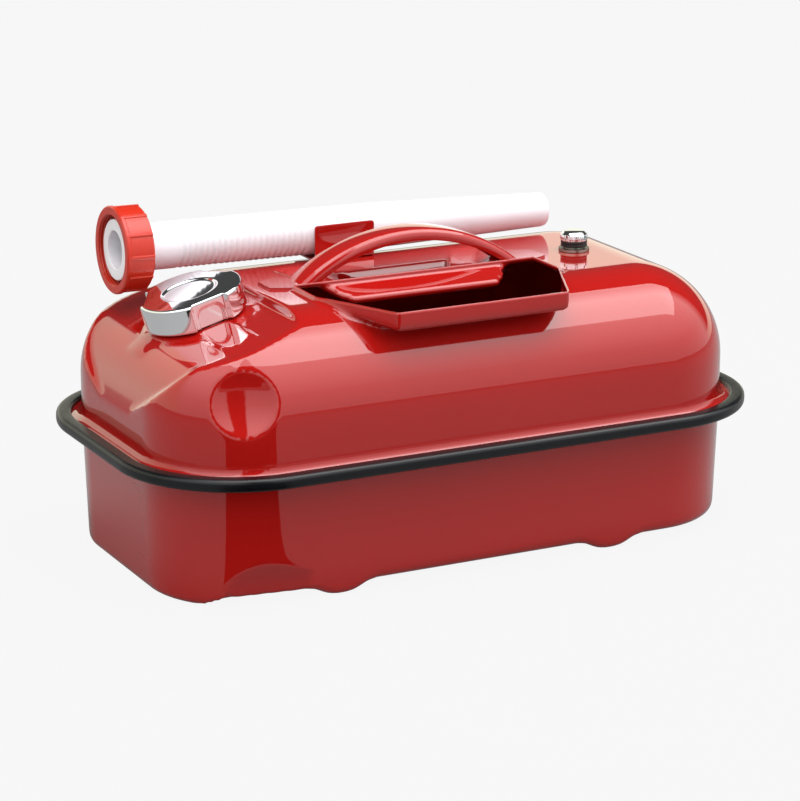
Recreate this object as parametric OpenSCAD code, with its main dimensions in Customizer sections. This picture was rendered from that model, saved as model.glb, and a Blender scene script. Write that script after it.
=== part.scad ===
// Pressed-steel fuel can of about 10 litres, lying type, with a fold-away pouring spout.
// Frame: millimetres, +Z up, X along the can with the filler at -X, -Y is the front.
// The origin is on the floor under the middle of the can.

/* [Body] */
// Length of the shells at the seam
body_l = 379; // [345:1:420]
// Width of the shells at the seam
body_w = 205; // [194:1:230]
// How much larger the upright corners' radius is than the shoulder's
corner_more = 4; // [2:0.5:10]
// Thickness of the pressed sheet
sheet = 0.9; // [0.7:0.1:1.4]
// Radius of the shoulder from wall to top
shoulder_r = 56; // [48:1:62]
// Height of the upper shell above the seam
dome_h = 83; // [76:1:95]
// Depth of the lower shell below the seam
tray_h = 72.6; // [60:0.2:90]
// How far the lower wall leans in from seam to floor
tray_draft = 2.5; // [1:0.1:4]
// Radius where the lower wall turns into the floor
tray_fillet = 5; // [4.5:0.5:12]
// Width of the welded flange round the seam
flange_w = 12.5; // [11:0.5:18]
// Radius of the hollow corner between dome wall and flange
flange_fillet = 4; // [2:0.5:6]

/* [Feet] */
// Depth of the foot ribs below the floor of the can
foot_drop = 5.5; // [4:0.5:8]
// Radius of a foot rib
foot_r = 28; // [22:1:32]
// Hollow radius where a rib runs into the floor
foot_fillet = 16; // [8:1:20]
// Distance of each rib from its end of the can
foot_in = 99.5; // [92:0.5:108]
// Width of the flat that a rib stands on
foot_flat = 7; // [4:0.5:10]
// Radius of the lower edge of the heel at the filler end
heel_fillet = 4; // [2.5:0.5:6]

/* [Finger scoops] */
// Radius of the hollow pressed into the lower edge beside the filler-end rib
scoop_r = 34; // [28:1:38]
// Straight length of a scoop
scoop_l = 28; // [20:1:34]
// Distance of the straight part from the middle of the rib
scoop_x = 34; // [32:1:38]
// Length of the narrowing end towards the rib
scoop_run = 20; // [14:1:24]
// Length of the narrowing end towards the corner of the can
scoop_end = 12; // [8:1:16]
// Height of a scoop's top on the wall
scoop_h = 24; // [18:0.5:27]
// Depth of a scoop under the can
scoop_d = 24; // [16:0.5:26]

/* [Edge trim] */
// Thickness of the rubber outside the flange edge
trim_wall = 3; // [2:0.5:4]
// Width of the rubber section, from its outside inwards
trim_w = 9; // [7:0.5:12]
// Height of the rubber section
trim_h = 7.6; // [6:0.2:10]

/* [Filler slope] */
// Distance of the step from the filler end of the can
step_in = 87.5; // [85.5:0.5:91.5]
// Drop of the step
step_drop = 5.2; // [3.5:0.2:6]
// Slope of the filler floor
slope_a = 15; // [12:0.5:17]
// Radius where the floor bends down the end
knee_r = 35; // [25:1:40]
// Slope of the end facet
end_a = 72; // [68:1:76]
// Height above the seam where the end facet meets the end wall
end_h = 22; // [16:1:28]
// Half width of the end facet at its foot
end_foot = 20; // [12:1:28]
// Lean of the end facet's side bevels along the can
bevel_lean = 29.5; // [26:0.5:33]
// Lean of the end facet's side bevels across the can
bevel_roll = 24; // [21:0.5:27]

/* [Filler neck and cap] */
// Distance of the neck from the filler end of the can
neck_in = 53.5; // [49.5:0.5:55.5]
// Outside radius of the neck thread
neck_r = 21; // [19:0.5:22]
// Wall of the neck
neck_wall = 2.2; // [1.6:0.2:3]
// Height of the neck above the filler floor
neck_h = 13; // [11:0.5:14]
// Radius of the top of the raised pad round the neck
pad_r = 28; // [27:0.5:30]
// Height of the raised pad
pad_h = 2; // [1.6:0.2:3]
// Width of the pad's sloping flank
pad_flank = 5; // [3:0.5:7]
// Width of the drain ramp from the pad to the front
ramp_w = 21; // [14:1:26]
// Radius over the lobes of the cap
cap_r = 31; // [29:0.5:32]
// Number of lobes on the cap, with a grip hollow between each two
cap_lobes = 3; // [3:1:6]
// Depth of the hollows between the lobes
cap_hollow = 4; // [2:0.2:4]
// Height of the lobed cap
cap_h = 16; // [15:0.5:19]
// Sheet of the cap
cap_sheet = 1; // [0.8:0.1:1.4]
// Outside radius of the threaded sleeve in the cap
sleeve_r = 24; // [23.5:0.5:25]
// How far the sleeve shows below the cap
sleeve_show = 0.6; // [0.4:0.2:2]
// Thickness of the gasket in the cap
gasket_t = 2; // [1.5:0.5:3]

/* [Vent screw] */
// Distance of the vent from its end of the can
vent_in = 71; // [67.5:0.5:77.5]
// Radius of the raised seat
seat_r = 16; // [14:0.5:17]
// Height of the raised seat
seat_h = 2.8; // [2:0.2:4]
// Radius of the knurled head
vent_r = 8.6; // [7:0.2:10]
// Height of the knurled head
vent_h = 5.6; // [4:0.2:7]
// Height of the rubber seal
seal_h = 4; // [3:0.2:6]
// Radius of the screw's shank
shank_r = 3; // [2.5:0.1:3.5]
// Length of the shank under the head
shank_l = 19; // [17:0.5:24]

/* [Handle] */
// Rise of the arch above the top of the can
arch_rise = 27.3; // [25:0.1:34]
// Width of the handle
handle_w = 22; // [18:1:26]
// Depth of the handle's channel
handle_d = 7; // [5:0.5:9]
// Sheet of the handle
handle_sheet = 1.4; // [1:0.1:2]
// Distance of a weld tab's tip from the filler step
tab_in = 9; // [6:0.5:12]
// Length of a weld tab past the arch
tab_l = 17.5; // [14:0.5:20]
// Width of a weld tab at its tip
tab_tip_w = 17; // [12:1:20]
// Width of a weld tab at the handle
tab_root_w = 29; // [24:1:32]

/* [Finger recess] */
// Depth of the recess under the handle
recess_d = 8.8; // [6:0.2:11]
// Distance of the recess's end from the foot of the handle's arch
recess_in = 11.5; // [10:0.5:18]
// How far its side bays reach past the foot of the arch
bay_more = 5.5; // [1:0.5:6.5]
// Distance of the bays' near edge in front of the handle's middle line
bay_near = 15; // [15:0.5:22]
// Distance of the bays' shelf in front of the handle's middle line
bay_shelf = 47; // [40:1:54]
// How much the bays narrow from the shelf to the front
bay_taper = 10; // [6:1:14]
// Distance of the back wall behind the handle's middle line
recess_back = 14; // [12:0.5:18]
// Run of the sloping back wall
recess_lean = 10; // [5:0.5:12]
// Run of the sloping end walls
recess_run = 15; // [10:1:18]
// Where the back wall turns into the rear pockets, from the middle
pocket_x = 37; // [34:1:42]
// How far the pockets' inner edge leans out on its way back
pocket_lean = 16; // [10:1:18]
// How far the pockets reach past the end of the recess
pocket_flare = 7; // [4:0.5:9]
// Distance of the pockets' back edge behind the handle's middle line
pocket_back = 38; // [32:1:40]

/* [Shoulder dimples] */
// Distance of a dimple from the filler end of the can
dimple_in = 39.5; // [35.5:0.5:45.5]
// Height of a dimple above the seam
dimple_z = 43; // [38:1:47]
// Radius of the ball that presses a dimple
dimple_r = 50; // [40:1:80]
// Depth of a dimple
dimple_d = 7.2; // [5:0.2:8]

/* [Spout] */
// Distance of the spout behind the handle's middle line
spout_y = 58; // [56:0.5:62]
// Distance of the nut's rim from the filler end of the can
spout_in = 23.5; // [17.5:0.5:29.5]
// Droop of the spout towards its outlet
spout_a = 0.85; // [0:0.05:1.2]
// Length of the spout from the nut's rim to the outlet
spout_l = 294; // [280:1:320]
// Outside radius of the spout tube
tube_r = 14.2; // [13:0.1:15]
// Outside radius at the outlet
outlet_r = 10.8; // [9:0.1:13]
// Wall of the spout tube
tube_wall = 1.6; // [1.2:0.1:2.2]
// Number of bellows ribs
rib_n = 22; // [12:1:30]
// Depth of the bellows ribs
rib_d = 1.1; // [0.6:0.1:1.4]
// Where the bellows start, from the nut's rim
bellows_x = 39; // [34:1:44]
// Length of the bellows
bellows_l = 85; // [60:1:100]
// Where the tube starts to taper, from the nut's rim
taper_x = 172; // [170:1:190]
// Radius of the sealing flange on the tube
spout_flange_r = 18.4; // [17:0.2:20]
// Thickness of the sealing flange
spout_flange_t = 3; // [2:0.5:4]
// Thickness of the washer on the flange
washer_t = 1.6; // [1:0.2:2.4]
// Outside radius of the union nut
nut_r = 26.5; // [25:0.5:27]
// Length of the union nut
nut_l = 18; // [15:0.5:20]
// Depth of the nut's threaded mouth
nut_mouth = 13; // [11:0.5:14]
// Number of grip ribs on the nut
grip_n = 12; // [8:1:16]
// Height of the grip ribs
grip_h = 0.7; // [0.4:0.1:1]

/* [Spout clip] */
// Middle of the clip along the can, towards the filler
clip_x = 19; // [14:1:24]
// Length of the clip along the can
clip_l = 40; // [30:1:50]
// Sheet of the clip
clip_sheet = 1; // [0.8:0.1:1.4]
// Height of the clip's arms
clip_h = 22.6; // [20:0.2:26]
// Radius of the arms' top corners
clip_corner = 2; // [1:0.5:6]

/* [Fits] */
// Clearance between parts that move past each other
slip = 0.3; // [0.2:0.05:0.5]
// Clearance of the screw in its bush
shaft_gap = 0.06; // [0.03:0.01:0.1]

/* [Hidden] */
$fn = 72;

// Enamel, rubber, plated steel and plastic as the eye sees them
enamel = "#c81e1c";
rubber = "#1c1c1e";
chrome = "#d0d3d6";
zinc = "#8d9093";
polyethylene = "#f4f2f4";
orange_red = "#e23a1e";

// Heights of the main levels above the floor
floor_z = foot_drop;
seam_z = floor_z + tray_h;
top_z = seam_z + dome_h;
// Plan radius of the upright corners
corner_r = shoulder_r + corner_more;
// Distances from the middle of the can
foot_x = body_l / 2 - foot_in;
step_x = body_l / 2 - step_in;
neck_x = body_l / 2 - neck_in;
vent_x = body_l / 2 - vent_in;
tab_x = step_x - tab_in;
dimple_x = body_l / 2 - dimple_in;
spout_x = body_l / 2 - spout_in;
// A length that reaches past any part, for cutters
far = body_l + body_w;
// A thin slice, for hulls between two outlines
slice = 0.01;

// Filler floor: its height at a distance from the middle, towards the filler end
function slope_z(x) = top_z - step_drop - (x - step_x) * tan(slope_a);
// The end facet's line passes through this height at the end wall
end_z = seam_z + end_h;
// Where slope and end facet would meet, measured from the middle
knee_x = (slope_z(0) - end_z + body_l / 2 * -tan(end_a)) / (tan(slope_a) - tan(end_a));
knee_z = slope_z(knee_x);
// Length from that corner to where the bend starts
knee_t = knee_r * tan((end_a - slope_a) / 2);
// Centre of the bend
knee_cx = knee_x - knee_t * cos(slope_a) - knee_r * sin(slope_a);
knee_cz = knee_z + knee_t * sin(slope_a) - knee_r * cos(slope_a);

// Heights along the neck's axis, from the filler floor
cap_z = pad_h + slip + sleeve_show;
// The round dish in the cap's top, and the roof under it
dish_r = 15.5;
dish_d = 1.1;
cap_roof = cap_z + cap_h - dish_d - cap_sheet;
// One hollow faces the front: its turn as a share of the pitch
cap_turned = 0.25;
bore_r = neck_r - neck_wall;
// The neck's flange lies under the pad
neck_flange_r = neck_r + 4;
neck_flange_t = 1.6;

// The vent's levels
seat_z = top_z + seat_h;
bush_r = 6;
bush_flange_r = 9.5;
bush_flange_t = 1.6;
bush_l = 13;

// The handle's arch
arch_foot = tab_x - tab_l;
arch_r = (arch_foot * arch_foot + arch_rise * arch_rise) / (2 * arch_rise);
arch_z = top_z + arch_rise - arch_r;
arch_a = acos((arch_r - arch_rise) / arch_r);
tab_t = 1.4;
// Half lengths of the recess under the handle and of its bays
recess_x = arch_foot - recess_in;
bay_x = arch_foot + bay_more;
// Foot of the recess's end and back walls
recess_low_x = recess_x - recess_run;
recess_low_y = recess_back - recess_lean;

// The spout lies in the clip
clip_in = tube_r + slip;
spout_z_at_clip = top_z + clip_sheet + slip + tube_r + clip_l / 2 * tan(spout_a);
spout_z = spout_z_at_clip + (spout_x - clip_x) * tan(spout_a);
nut_bore = neck_r + slip;
spout_bore = tube_r - tube_wall - rib_d;
// The nut's web stands behind the tube's flange
flange_back = nut_mouth - slip;
flange_front = flange_back - spout_flange_t;
// The nut's thread ends in front of the washer, in a relief that the flange turns in
nut_thread_l = flange_front - washer_t - slip;
nut_relief = 0.4;

// Points of an arc about a centre, in steps of turn
function arc(c, r, from, to, n) =
    [for (i = [0:n]) c + r * [cos(from + (to - from) * i / n), sin(from + (to - from) * i / n)]];

// Carries a profile round a rounded rectangle. The profile's X runs out from the corner's centre.
module carried_round(l, w, r) {
    for (k = [0:3])
        rotate(90 * k)
            translate([(k % 2 == 0 ? l : w) / 2 - r, (k % 2 == 0 ? w : l) / 2 - r, 0]) {
                rotate_extrude(angle = 90) children();
                rotate([90, 0, 0]) linear_extrude((k % 2 == 0 ? w : l) - 2 * r) children();
            }
}

// The middle block inside the carried profile
module core(l, w, r, z0, z1) {
    translate([r - l / 2, r - w / 2, z0]) cube([l - 2 * r, w - 2 * r, z1 - z0]);
}

// Wall and shoulder of the dome, from the corner's centre outwards
module dome_profile(r, s, z0, z1) {
    translate([0, z0]) square([r, z1 - s - z0]);
    translate([0, z0]) square([r - s, z1 - z0]);
    translate([r - s, z1 - s]) intersection() {
        circle(s);
        square(s);
    }
}

// The plain dome, drawn in by g all round
module dome(g, z0) {
    l = body_l - 2 * g;
    w = body_w - 2 * g;
    r = corner_r - g;
    carried_round(l, w, r) dome_profile(r, shoulder_r - g, z0, top_z - g);
    core(l, w, r, z0, top_z - g);
}

// Side view of what stays below the filler cut, drawn in by g
module below_filler(g) {
    c = [-knee_cx, knee_cz];
    bend = arc(c, knee_r - g, 90 + slope_a, 90 + end_a, 9);
    along = [cos(slope_a), sin(slope_a)];
    down = [-cos(end_a), -sin(end_a)];
    polygon(concat([bend[0] + far * along], bend, [bend[9] + far * down, bend[9] + far * down + far * [2, 0]]));
}

// What the side bevels of the end facet leave standing, drawn in by g
module bevel_corners(g) {
    for (side = [0, 1])
        mirror([0, side, 0]) translate([-body_l / 2, -end_foot, end_z]) rotate([-bevel_roll, -bevel_lean, 0])
            translate([-far / 2, -far / 2, -far - g]) cube(far);
}

// Side view of the space under the filler slope, drawn in by g
module below_slope(g) {
    low = slope_z(step_x - far / 2) - g / cos(slope_a);
    high = slope_z(step_x + far / 2) - g / cos(slope_a);
    polygon([[-step_x - far / 2, high], [-step_x + far / 2, low],
             [-step_x + far / 2, -far], [-step_x - far / 2, -far]]);
}

// Takes the filler slope and the end facet out of the dome
module filler_cut(g) {
    difference() {
        translate([0, far / 2, 0]) rotate([90, 0, 0]) linear_extrude(far)
            difference() {
                translate([-far, seam_z]) square([far - step_x + g, far]);
                below_filler(g);
            }
        intersection() {
            bevel_corners(g);
            translate([0, far / 2, 0]) rotate([90, 0, 0]) linear_extrude(far) below_slope(g);
        }
    }
}

// Puts things on the filler floor, square to it at the neck
module on_slope() {
    translate([-neck_x, 0, slope_z(neck_x)]) rotate([0, -slope_a, 0]) children();
}

// Raised pad round the neck, with its drain ramp to the front
module neck_pad(g) {
    // The pad's flank runs on below the slope, so that the two join
    sunk = 4;
    foot = pad_r + pad_flank * (1 + sunk / pad_h);
    reach = body_w / 2 - shoulder_r * 0.45;
    on_slope() {
        translate([0, 0, -sunk]) cylinder(h = sunk + pad_h - g, r1 = foot - g, r2 = pad_r - g);
        rotate([90, 0, 90]) linear_extrude(ramp_w - 2 * g, center = true)
            polygon([[0, pad_h - g], [-pad_r, pad_h - g], [-reach, -g], [-reach, -sunk], [0, -sunk]]);
    }
}

// Raised seat for the vent screw
module vent_seat(g) {
    flare = 1;
    translate([vent_x, 0, top_z - seat_h - g])
        cylinder(h = 2 * seat_h, r1 = seat_r + flare - g, r2 = seat_r - g);
}

// The recess under the handle, open through the front shoulder, grown by g
module finger_recess(g) {
    deep = top_z - recess_d - g;
    front = -body_w;
    hull() {
        translate([0, 0, deep]) linear_extrude(slice) offset(delta = g)
            polygon([[-recess_low_x, recess_low_y], [recess_low_x, recess_low_y], [recess_low_x, front],
                     [-recess_low_x, front]]);
        translate([0, 0, top_z]) linear_extrude(slice) offset(delta = g)
            polygon([[-recess_x, recess_back], [recess_x, recess_back], [recess_x, front], [-recess_x, front]]);
    }
}

// The wider bays of the recess in front of the handle's feet, grown by g
module recess_bays(g) {
    deep = top_z - recess_d - g;
    low_near = -bay_near - recess_d;
    mouth = -body_w / 2;
    low_x = bay_x - recess_run;
    mouth_x = low_x - bay_taper;
    hull() {
        translate([0, 0, deep]) linear_extrude(slice) offset(delta = g)
            polygon([[-low_x, low_near], [low_x, low_near], [low_x, -bay_shelf], [mouth_x, mouth],
                     [-mouth_x, mouth], [-low_x, -bay_shelf]]);
        translate([0, 0, top_z]) linear_extrude(slice) offset(delta = g)
            polygon([[-bay_x, -bay_near], [bay_x, -bay_near], [bay_x, -bay_shelf], [mouth_x, mouth],
                     [-mouth_x, mouth], [-bay_x, -bay_shelf]]);
    }
}

// Long slopes down into the recess behind the handle's feet, either side of the spout's clip, grown by g
module recess_pockets(g) {
    // They start a little inside the recess, so that their faces cross its walls
    tuck = 0.8;
    low = top_z - recess_d + tuck;
    high = top_z + tuck;
    end = recess_x + pocket_flare;
    // The inner edge runs on into the recess at the same lean
    inner_x = pocket_x - recess_back * pocket_lean / (pocket_back - recess_back);
    for (side = [0, 1])
        mirror([side, 0, 0]) intersection() {
            translate([0, 0, seam_z]) linear_extrude(dome_h + tuck) offset(delta = g)
                polygon([[inner_x, 0], [recess_x - tuck, 0], [end, pocket_back],
                         [pocket_x + pocket_lean, pocket_back]]);
            rotate([90, 0, 90]) linear_extrude(far) offset(delta = g)
                polygon([[-tuck, low], [recess_low_y - tuck, low], [pocket_back, top_z], [pocket_back, high],
                         [-tuck, high]]);
            translate([0, far / 2, 0]) rotate([90, 0, 0]) linear_extrude(far) offset(delta = g)
                polygon([[0, low - tuck], [recess_low_x - tuck, low - tuck],
                         [end, top_z], [end, high], [0, high]]);
        }
}

// A round dimple on each shoulder near the filler, grown by g
module dimples(g) {
    off = dimple_x - (body_l / 2 - corner_r);
    turn = asin(off / corner_r);
    rise = asin((dimple_z - (dome_h - shoulder_r)) / shoulder_r);
    reach = corner_r - shoulder_r;
    for (side = [0, 1])
        mirror([0, side, 0])
            translate([corner_r - body_l / 2, corner_r - body_w / 2, top_z - shoulder_r])
                rotate([0, 0, -90 - turn]) translate([reach, 0, 0]) rotate([0, -rise, 0])
                    translate([shoulder_r + dimple_r - dimple_d, 0, 0]) sphere(dimple_r + g);
}

// The upper shell's outside as a solid, drawn in by g
module dome_form(g, z0) {
    difference() {
        dome(g, z0);
        filler_cut(g);
        finger_recess(g);
        recess_bays(g);
        recess_pockets(g);
        dimples(g);
    }
    intersection() {
        neck_pad(g);
        dome(g + slip, z0);
    }
    vent_seat(g);
}

// Flange round the seam, from inside the wall outwards
module flange(z0, z1) {
    carried_round(body_l, body_w, corner_r)
        translate([corner_r - sheet, z0]) square([sheet + flange_w, z1 - z0]);
}

// Hollow corner of the sheet between the dome's wall and its flange
module flange_corner() {
    foot = [corner_r, seam_z + sheet];
    carried_round(body_l, body_w, corner_r)
        polygon(concat([foot], arc(foot + flange_fillet * [1, 1], flange_fillet, 270, 180, 6)));
}

module upper_shell() {
    color(enamel) difference() {
        union() {
            dome_form(0, seam_z);
            flange(seam_z, seam_z + sheet);
            flange_corner();
        }
        dome_form(sheet, seam_z - far);
        on_slope() cylinder(h = far, r = neck_r, center = true);
        translate([vent_x, 0, top_z]) cylinder(h = far, r = bush_r, center = true);
    }
}

// How far the drafted wall stands from the corner's centre at a height, drawn in by g
function wall_at(z, g) = corner_r - g - tray_draft * (seam_z - z) / tray_h;

// The tray as a solid as low as the heel all along, drawn in by g
module low_tray(g, z1) {
    r = heel_fillet - g;
    foot = wall_at(heel_fillet, g);
    carried_round(body_l - 2 * g, body_w - 2 * g, corner_r - g)
        polygon(concat([[0, z1], [0, g]], arc([foot - r, heel_fillet], r, 270, 360, 6),
                       [[wall_at(z1, g), z1]]));
    core(body_l - 2 * g, body_w - 2 * g, corner_r - g, g, z1);
}

// The space under the raised floor, from the filler-end rib to the vent end, drawn in by g
module floor_rise(g) {
    r = tray_fillet - g;
    edge = floor_z + tray_fillet;
    foot = wall_at(edge, g);
    past = corner_r + flange_w;
    under = -floor_z;
    intersection() {
        union() {
            carried_round(body_l - 2 * g, body_w - 2 * g, corner_r - g)
                polygon(concat([[0, under], [0, floor_z + g]], arc([foot - r, edge], r, 270, 360, 8),
                               [[past, edge], [past, under]]));
            core(body_l - 2 * g, body_w - 2 * g, corner_r - g, under, floor_z + g);
        }
        translate([-foot_x, -far / 2, -far / 2]) cube(far);
    }
}

// Side view of a foot rib: a round lobe run into the floor by hollow corners, drawn in by g
module rib_profile(g) {
    r = foot_r - g;
    f = foot_fillet + g;
    sunk = foot_r - sqrt(foot_r * foot_r - foot_flat * foot_flat / 4);
    mid = [0, foot_r - sunk];
    low = floor_z + g - f;
    dx = sqrt((r + f) * (r + f) - (mid[1] - low) * (mid[1] - low));
    lean = atan2(mid[1] - low, dx);
    half = concat(arc(mid, r, 270, 360 - lean, 8), arc([dx, low], f, 180 - lean, 90, 6));
    top = [dx, floor_z + foot_r];
    intersection() {
        polygon(concat(half, [top, [-top[0], top[1]]],
                       [for (i = [len(half) - 1:-1:0]) [-half[i][0], half[i][1]]]));
        translate([-far / 2, g]) square(far);
    }
}

// End view of the walls that the ribs run out to, drawn in by g
module rib_reach(g) {
    out = body_w / 2 - corner_r;
    high = floor_z + foot_r;
    low_y = out + wall_at(0, g);
    high_y = out + wall_at(high, g);
    polygon([[-low_y, 0], [low_y, 0], [high_y, high], [-high_y, high]]);
}

// The rib at the vent end, and the half of the other rib that the heel doesn't hold
module foot_ribs(g) {
    intersection() {
        translate([0, far / 2, 0]) rotate([90, 0, 0]) linear_extrude(far) {
            translate([foot_x, 0]) rib_profile(g);
            intersection() {
                translate([-foot_x, 0]) rib_profile(g);
                translate([-foot_x, 0]) square(far);
            }
        }
        rotate([90, 0, 90]) linear_extrude(far, center = true) rib_reach(g);
    }
}

// Hollows in the lower edge of the heel beside its rib, grown by g
module scoops(g) {
    // The hollow's axis lies outside the can, square to the middle of the line between its two rims
    corner_end = scoop_r * 0.7 + g;
    rib_end = scoop_r / 2 + g;
    wall = body_w / 2 - corner_r + wall_at(0, 0);
    half = norm([scoop_h, scoop_d]) / 2;
    back = sqrt(scoop_r * scoop_r - half * half);
    lean = atan2(scoop_h, scoop_d);
    y = wall - scoop_d / 2 + back * sin(lean);
    z = scoop_h / 2 - back * cos(lean);
    for (side = [-1, 1])
        translate([-foot_x - scoop_x, side * y, z]) rotate([0, 90, 0]) rotate_extrude()
            polygon([[0, -scoop_l - scoop_end - g], [corner_end, -scoop_l - scoop_end - g],
                     [scoop_r + g, -scoop_l],
                     [scoop_r + g, 0], [rib_end, scoop_run + g], [0, scoop_run + g]]);
}

// The tray with its low heel, raised floor and ribs, drawn in by g
module tray_form(g, z1) {
    difference() {
        low_tray(g, z1);
        floor_rise(g);
        scoops(g);
    }
    foot_ribs(g);
}

module lower_shell() {
    color(enamel) difference() {
        union() {
            tray_form(0, seam_z);
            flange(seam_z - sheet, seam_z);
        }
        tray_form(sheet, seam_z + 1);
    }
}

// Rubber edging of U section pushed over the flange
module seam_trim() {
    lip = corner_r + flange_w + trim_wall - trim_w;
    round = trim_h * 0.36;
    color(rubber) carried_round(body_l, body_w, corner_r)
        difference() {
            polygon(concat(arc([lip + trim_w - round, seam_z - trim_h / 2 + round], round, 270, 360, 6),
                           arc([lip + trim_w - round, seam_z + trim_h / 2 - round], round, 0, 90, 6),
                           arc([lip + round / 2, seam_z + trim_h / 2 - round / 2], round / 2, 90, 180, 4),
                           arc([lip + round / 2, seam_z - trim_h / 2 + round / 2], round / 2, 180, 270, 4)));
            translate([lip - 1, seam_z - sheet]) square([trim_w - trim_wall + 1, 2 * sheet]);
        }
}

// Cross-section of the handle: a channel with a rounded back, open below
module handle_section() {
    back = arch_r;
    edge = 3;
    difference() {
        polygon(concat([[back - handle_d, -handle_w / 2]],
                       arc([back - edge, edge - handle_w / 2], edge, 270, 360, 6),
                       arc([back - edge, handle_w / 2 - edge], edge, 0, 90, 6),
                       [[back - handle_d, handle_w / 2]]));
        translate([back - handle_d - 1, handle_sheet - handle_w / 2])
            square([handle_d + 1 - handle_sheet, handle_w - 2 * handle_sheet]);
    }
}

module handle() {
    // The tabs start under the arch and widen over a short way, and the arch is cut level with the can's top
    tuck = arch_foot - 6;
    clear = arch_foot + 0.5;
    flare = arch_foot + 4;
    neck_w = handle_w - handle_sheet;
    spare_a = 4;
    color(enamel) {
        intersection() {
            translate([0, 0, arch_z]) rotate([90, 0, 0]) rotate(90 - arch_a - spare_a)
                rotate_extrude(angle = 2 * (arch_a + spare_a)) handle_section();
            translate([-far / 2, -far / 2, top_z]) cube(far);
        }
        for (side = [0, 1])
            mirror([side, 0, 0]) translate([0, 0, top_z]) linear_extrude(tab_t)
                polygon([[tuck, -neck_w / 2], [clear, -neck_w / 2], [flare, -tab_root_w / 2],
                         [tab_x, -tab_tip_w / 2], [tab_x, tab_tip_w / 2], [flare, tab_root_w / 2],
                         [clear, neck_w / 2], [tuck, neck_w / 2]]);
    }
}

// Neck with a flange under the pad, welded to the upper shell
module filler_neck() {
    under = pad_h - sheet;
    color(zinc) on_slope() difference() {
        union() {
            translate([0, 0, under - neck_flange_t]) cylinder(h = neck_h - under + neck_flange_t, r = neck_r);
            translate([0, 0, under - neck_flange_t]) cylinder(h = neck_flange_t, r = neck_flange_r);
        }
        cylinder(h = far, r = bore_r, center = true);
    }
}

// Threaded bush for the vent screw, welded under its seat
module vent_bush() {
    under = seat_z - sheet;
    color(zinc) translate([vent_x, 0, 0]) difference() {
        union() {
            translate([0, 0, seat_z - bush_l]) cylinder(h = bush_l, r = bush_r);
            translate([0, 0, under - bush_flange_t]) cylinder(h = bush_flange_t, r = bush_flange_r);
        }
        translate([0, 0, seat_z]) cylinder(h = far, r = shank_r + shaft_gap, center = true);
    }
}

// Outline of an arm of the spout clip
module clip_arm() {
    linear_extrude(clip_sheet) difference() {
        square([clip_l, clip_h]);
        for (side = [0, 1])
            translate([side * clip_l, clip_h]) mirror([side, 0]) translate([clip_corner, -clip_corner])
                difference() {
                    translate([-2 * clip_corner, 0]) square([2 * clip_corner, 2 * clip_corner]);
                    circle(clip_corner);
                }
    }
}

// Spring clip of bent sheet that holds the spout
module spout_clip() {
    color(enamel) translate([-clip_x - clip_l / 2, spout_y, top_z]) {
        for (side = [-1, 1])
            translate([0, side * (clip_in + clip_sheet / 2) + clip_sheet / 2, 0]) rotate([90, 0, 0]) clip_arm();
        translate([0, -clip_in, 0]) cube([clip_l, 2 * clip_in, clip_sheet]);
    }
}

// Outline of the cap: lobes with hollows between them, drawn in by g
module lobed_outline(g) {
    hollow_r = 90;
    difference() {
        circle(cap_r - g);
        for (k = [0:cap_lobes - 1])
            rotate((k + cap_turned) * 360 / cap_lobes) translate([cap_r - cap_hollow + hollow_r, 0])
                circle(hollow_r + g, $fn = 180);
    }
}

// Plated outer shell of the filler cap, with a round dish in its top
module cap_shell() {
    bevel = 1.6;
    color(chrome) on_slope() translate([0, 0, cap_z]) difference() {
        intersection() {
            linear_extrude(cap_h) lobed_outline(0);
            union() {
                cylinder(h = cap_h - bevel, r = cap_r + 1);
                translate([0, 0, cap_h - bevel]) cylinder(h = bevel, r1 = cap_r, r2 = cap_r - 2 * bevel);
            }
        }
        translate([0, 0, -1]) linear_extrude(cap_h - dish_d - cap_sheet + 1)
            lobed_outline(cap_sheet + bevel / 2);
        translate([0, 0, cap_h - dish_d]) cylinder(h = far, r1 = dish_r, r2 = dish_r + far);
    }
}

// Threaded sleeve held in the cap
module cap_sleeve() {
    color(zinc) on_slope() translate([0, 0, pad_h + slip]) difference() {
        cylinder(h = cap_roof - pad_h - slip, r = sleeve_r);
        cylinder(h = far, r = neck_r + slip, center = true);
    }
}

// Rubber gasket that closes the neck
module cap_gasket() {
    color(rubber) on_slope() translate([0, 0, neck_h]) difference() {
        cylinder(h = gasket_t, r = neck_r);
        cylinder(h = far, r = bore_r - 3, center = true);
    }
}

// Backing disc that carries the gasket
module cap_disc() {
    color(zinc) on_slope() translate([0, 0, neck_h + gasket_t])
        cylinder(h = cap_roof - neck_h - gasket_t, r = neck_r);
}

// Knurled head and shank of the vent screw
module vent_screw() {
    grooves = 36;
    groove_r = 0.45;
    crown = 1.2;
    crown_r = vent_r - 1.6;
    color(chrome) translate([vent_x, 0, seat_z + seal_h]) {
        difference() {
            union() {
                cylinder(h = vent_h - crown, r = vent_r);
                translate([0, 0, vent_h - crown]) cylinder(h = crown, r1 = vent_r, r2 = crown_r);
            }
            for (k = [0:grooves - 1])
                rotate(k * 360 / grooves) translate([vent_r + groove_r / 3, 0, 0])
                    cylinder(h = far, r = groove_r, center = true, $fn = 16);
        }
        translate([0, 0, -shank_l]) cylinder(h = shank_l, r = shank_r);
    }
}

// Rubber seal under the head of the vent screw
module vent_seal() {
    color(rubber) translate([vent_x, 0, seat_z]) difference() {
        cylinder(h = seal_h, r = vent_r - slip);
        cylinder(h = far, r = shank_r + slip, center = true);
    }
}

// Puts the spout in its clip, with its own X along the tube from the nut's rim
module at_spout() {
    translate([-spout_x, spout_y, spout_z]) rotate([0, 90 + spout_a, 0]) children();
}

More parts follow.
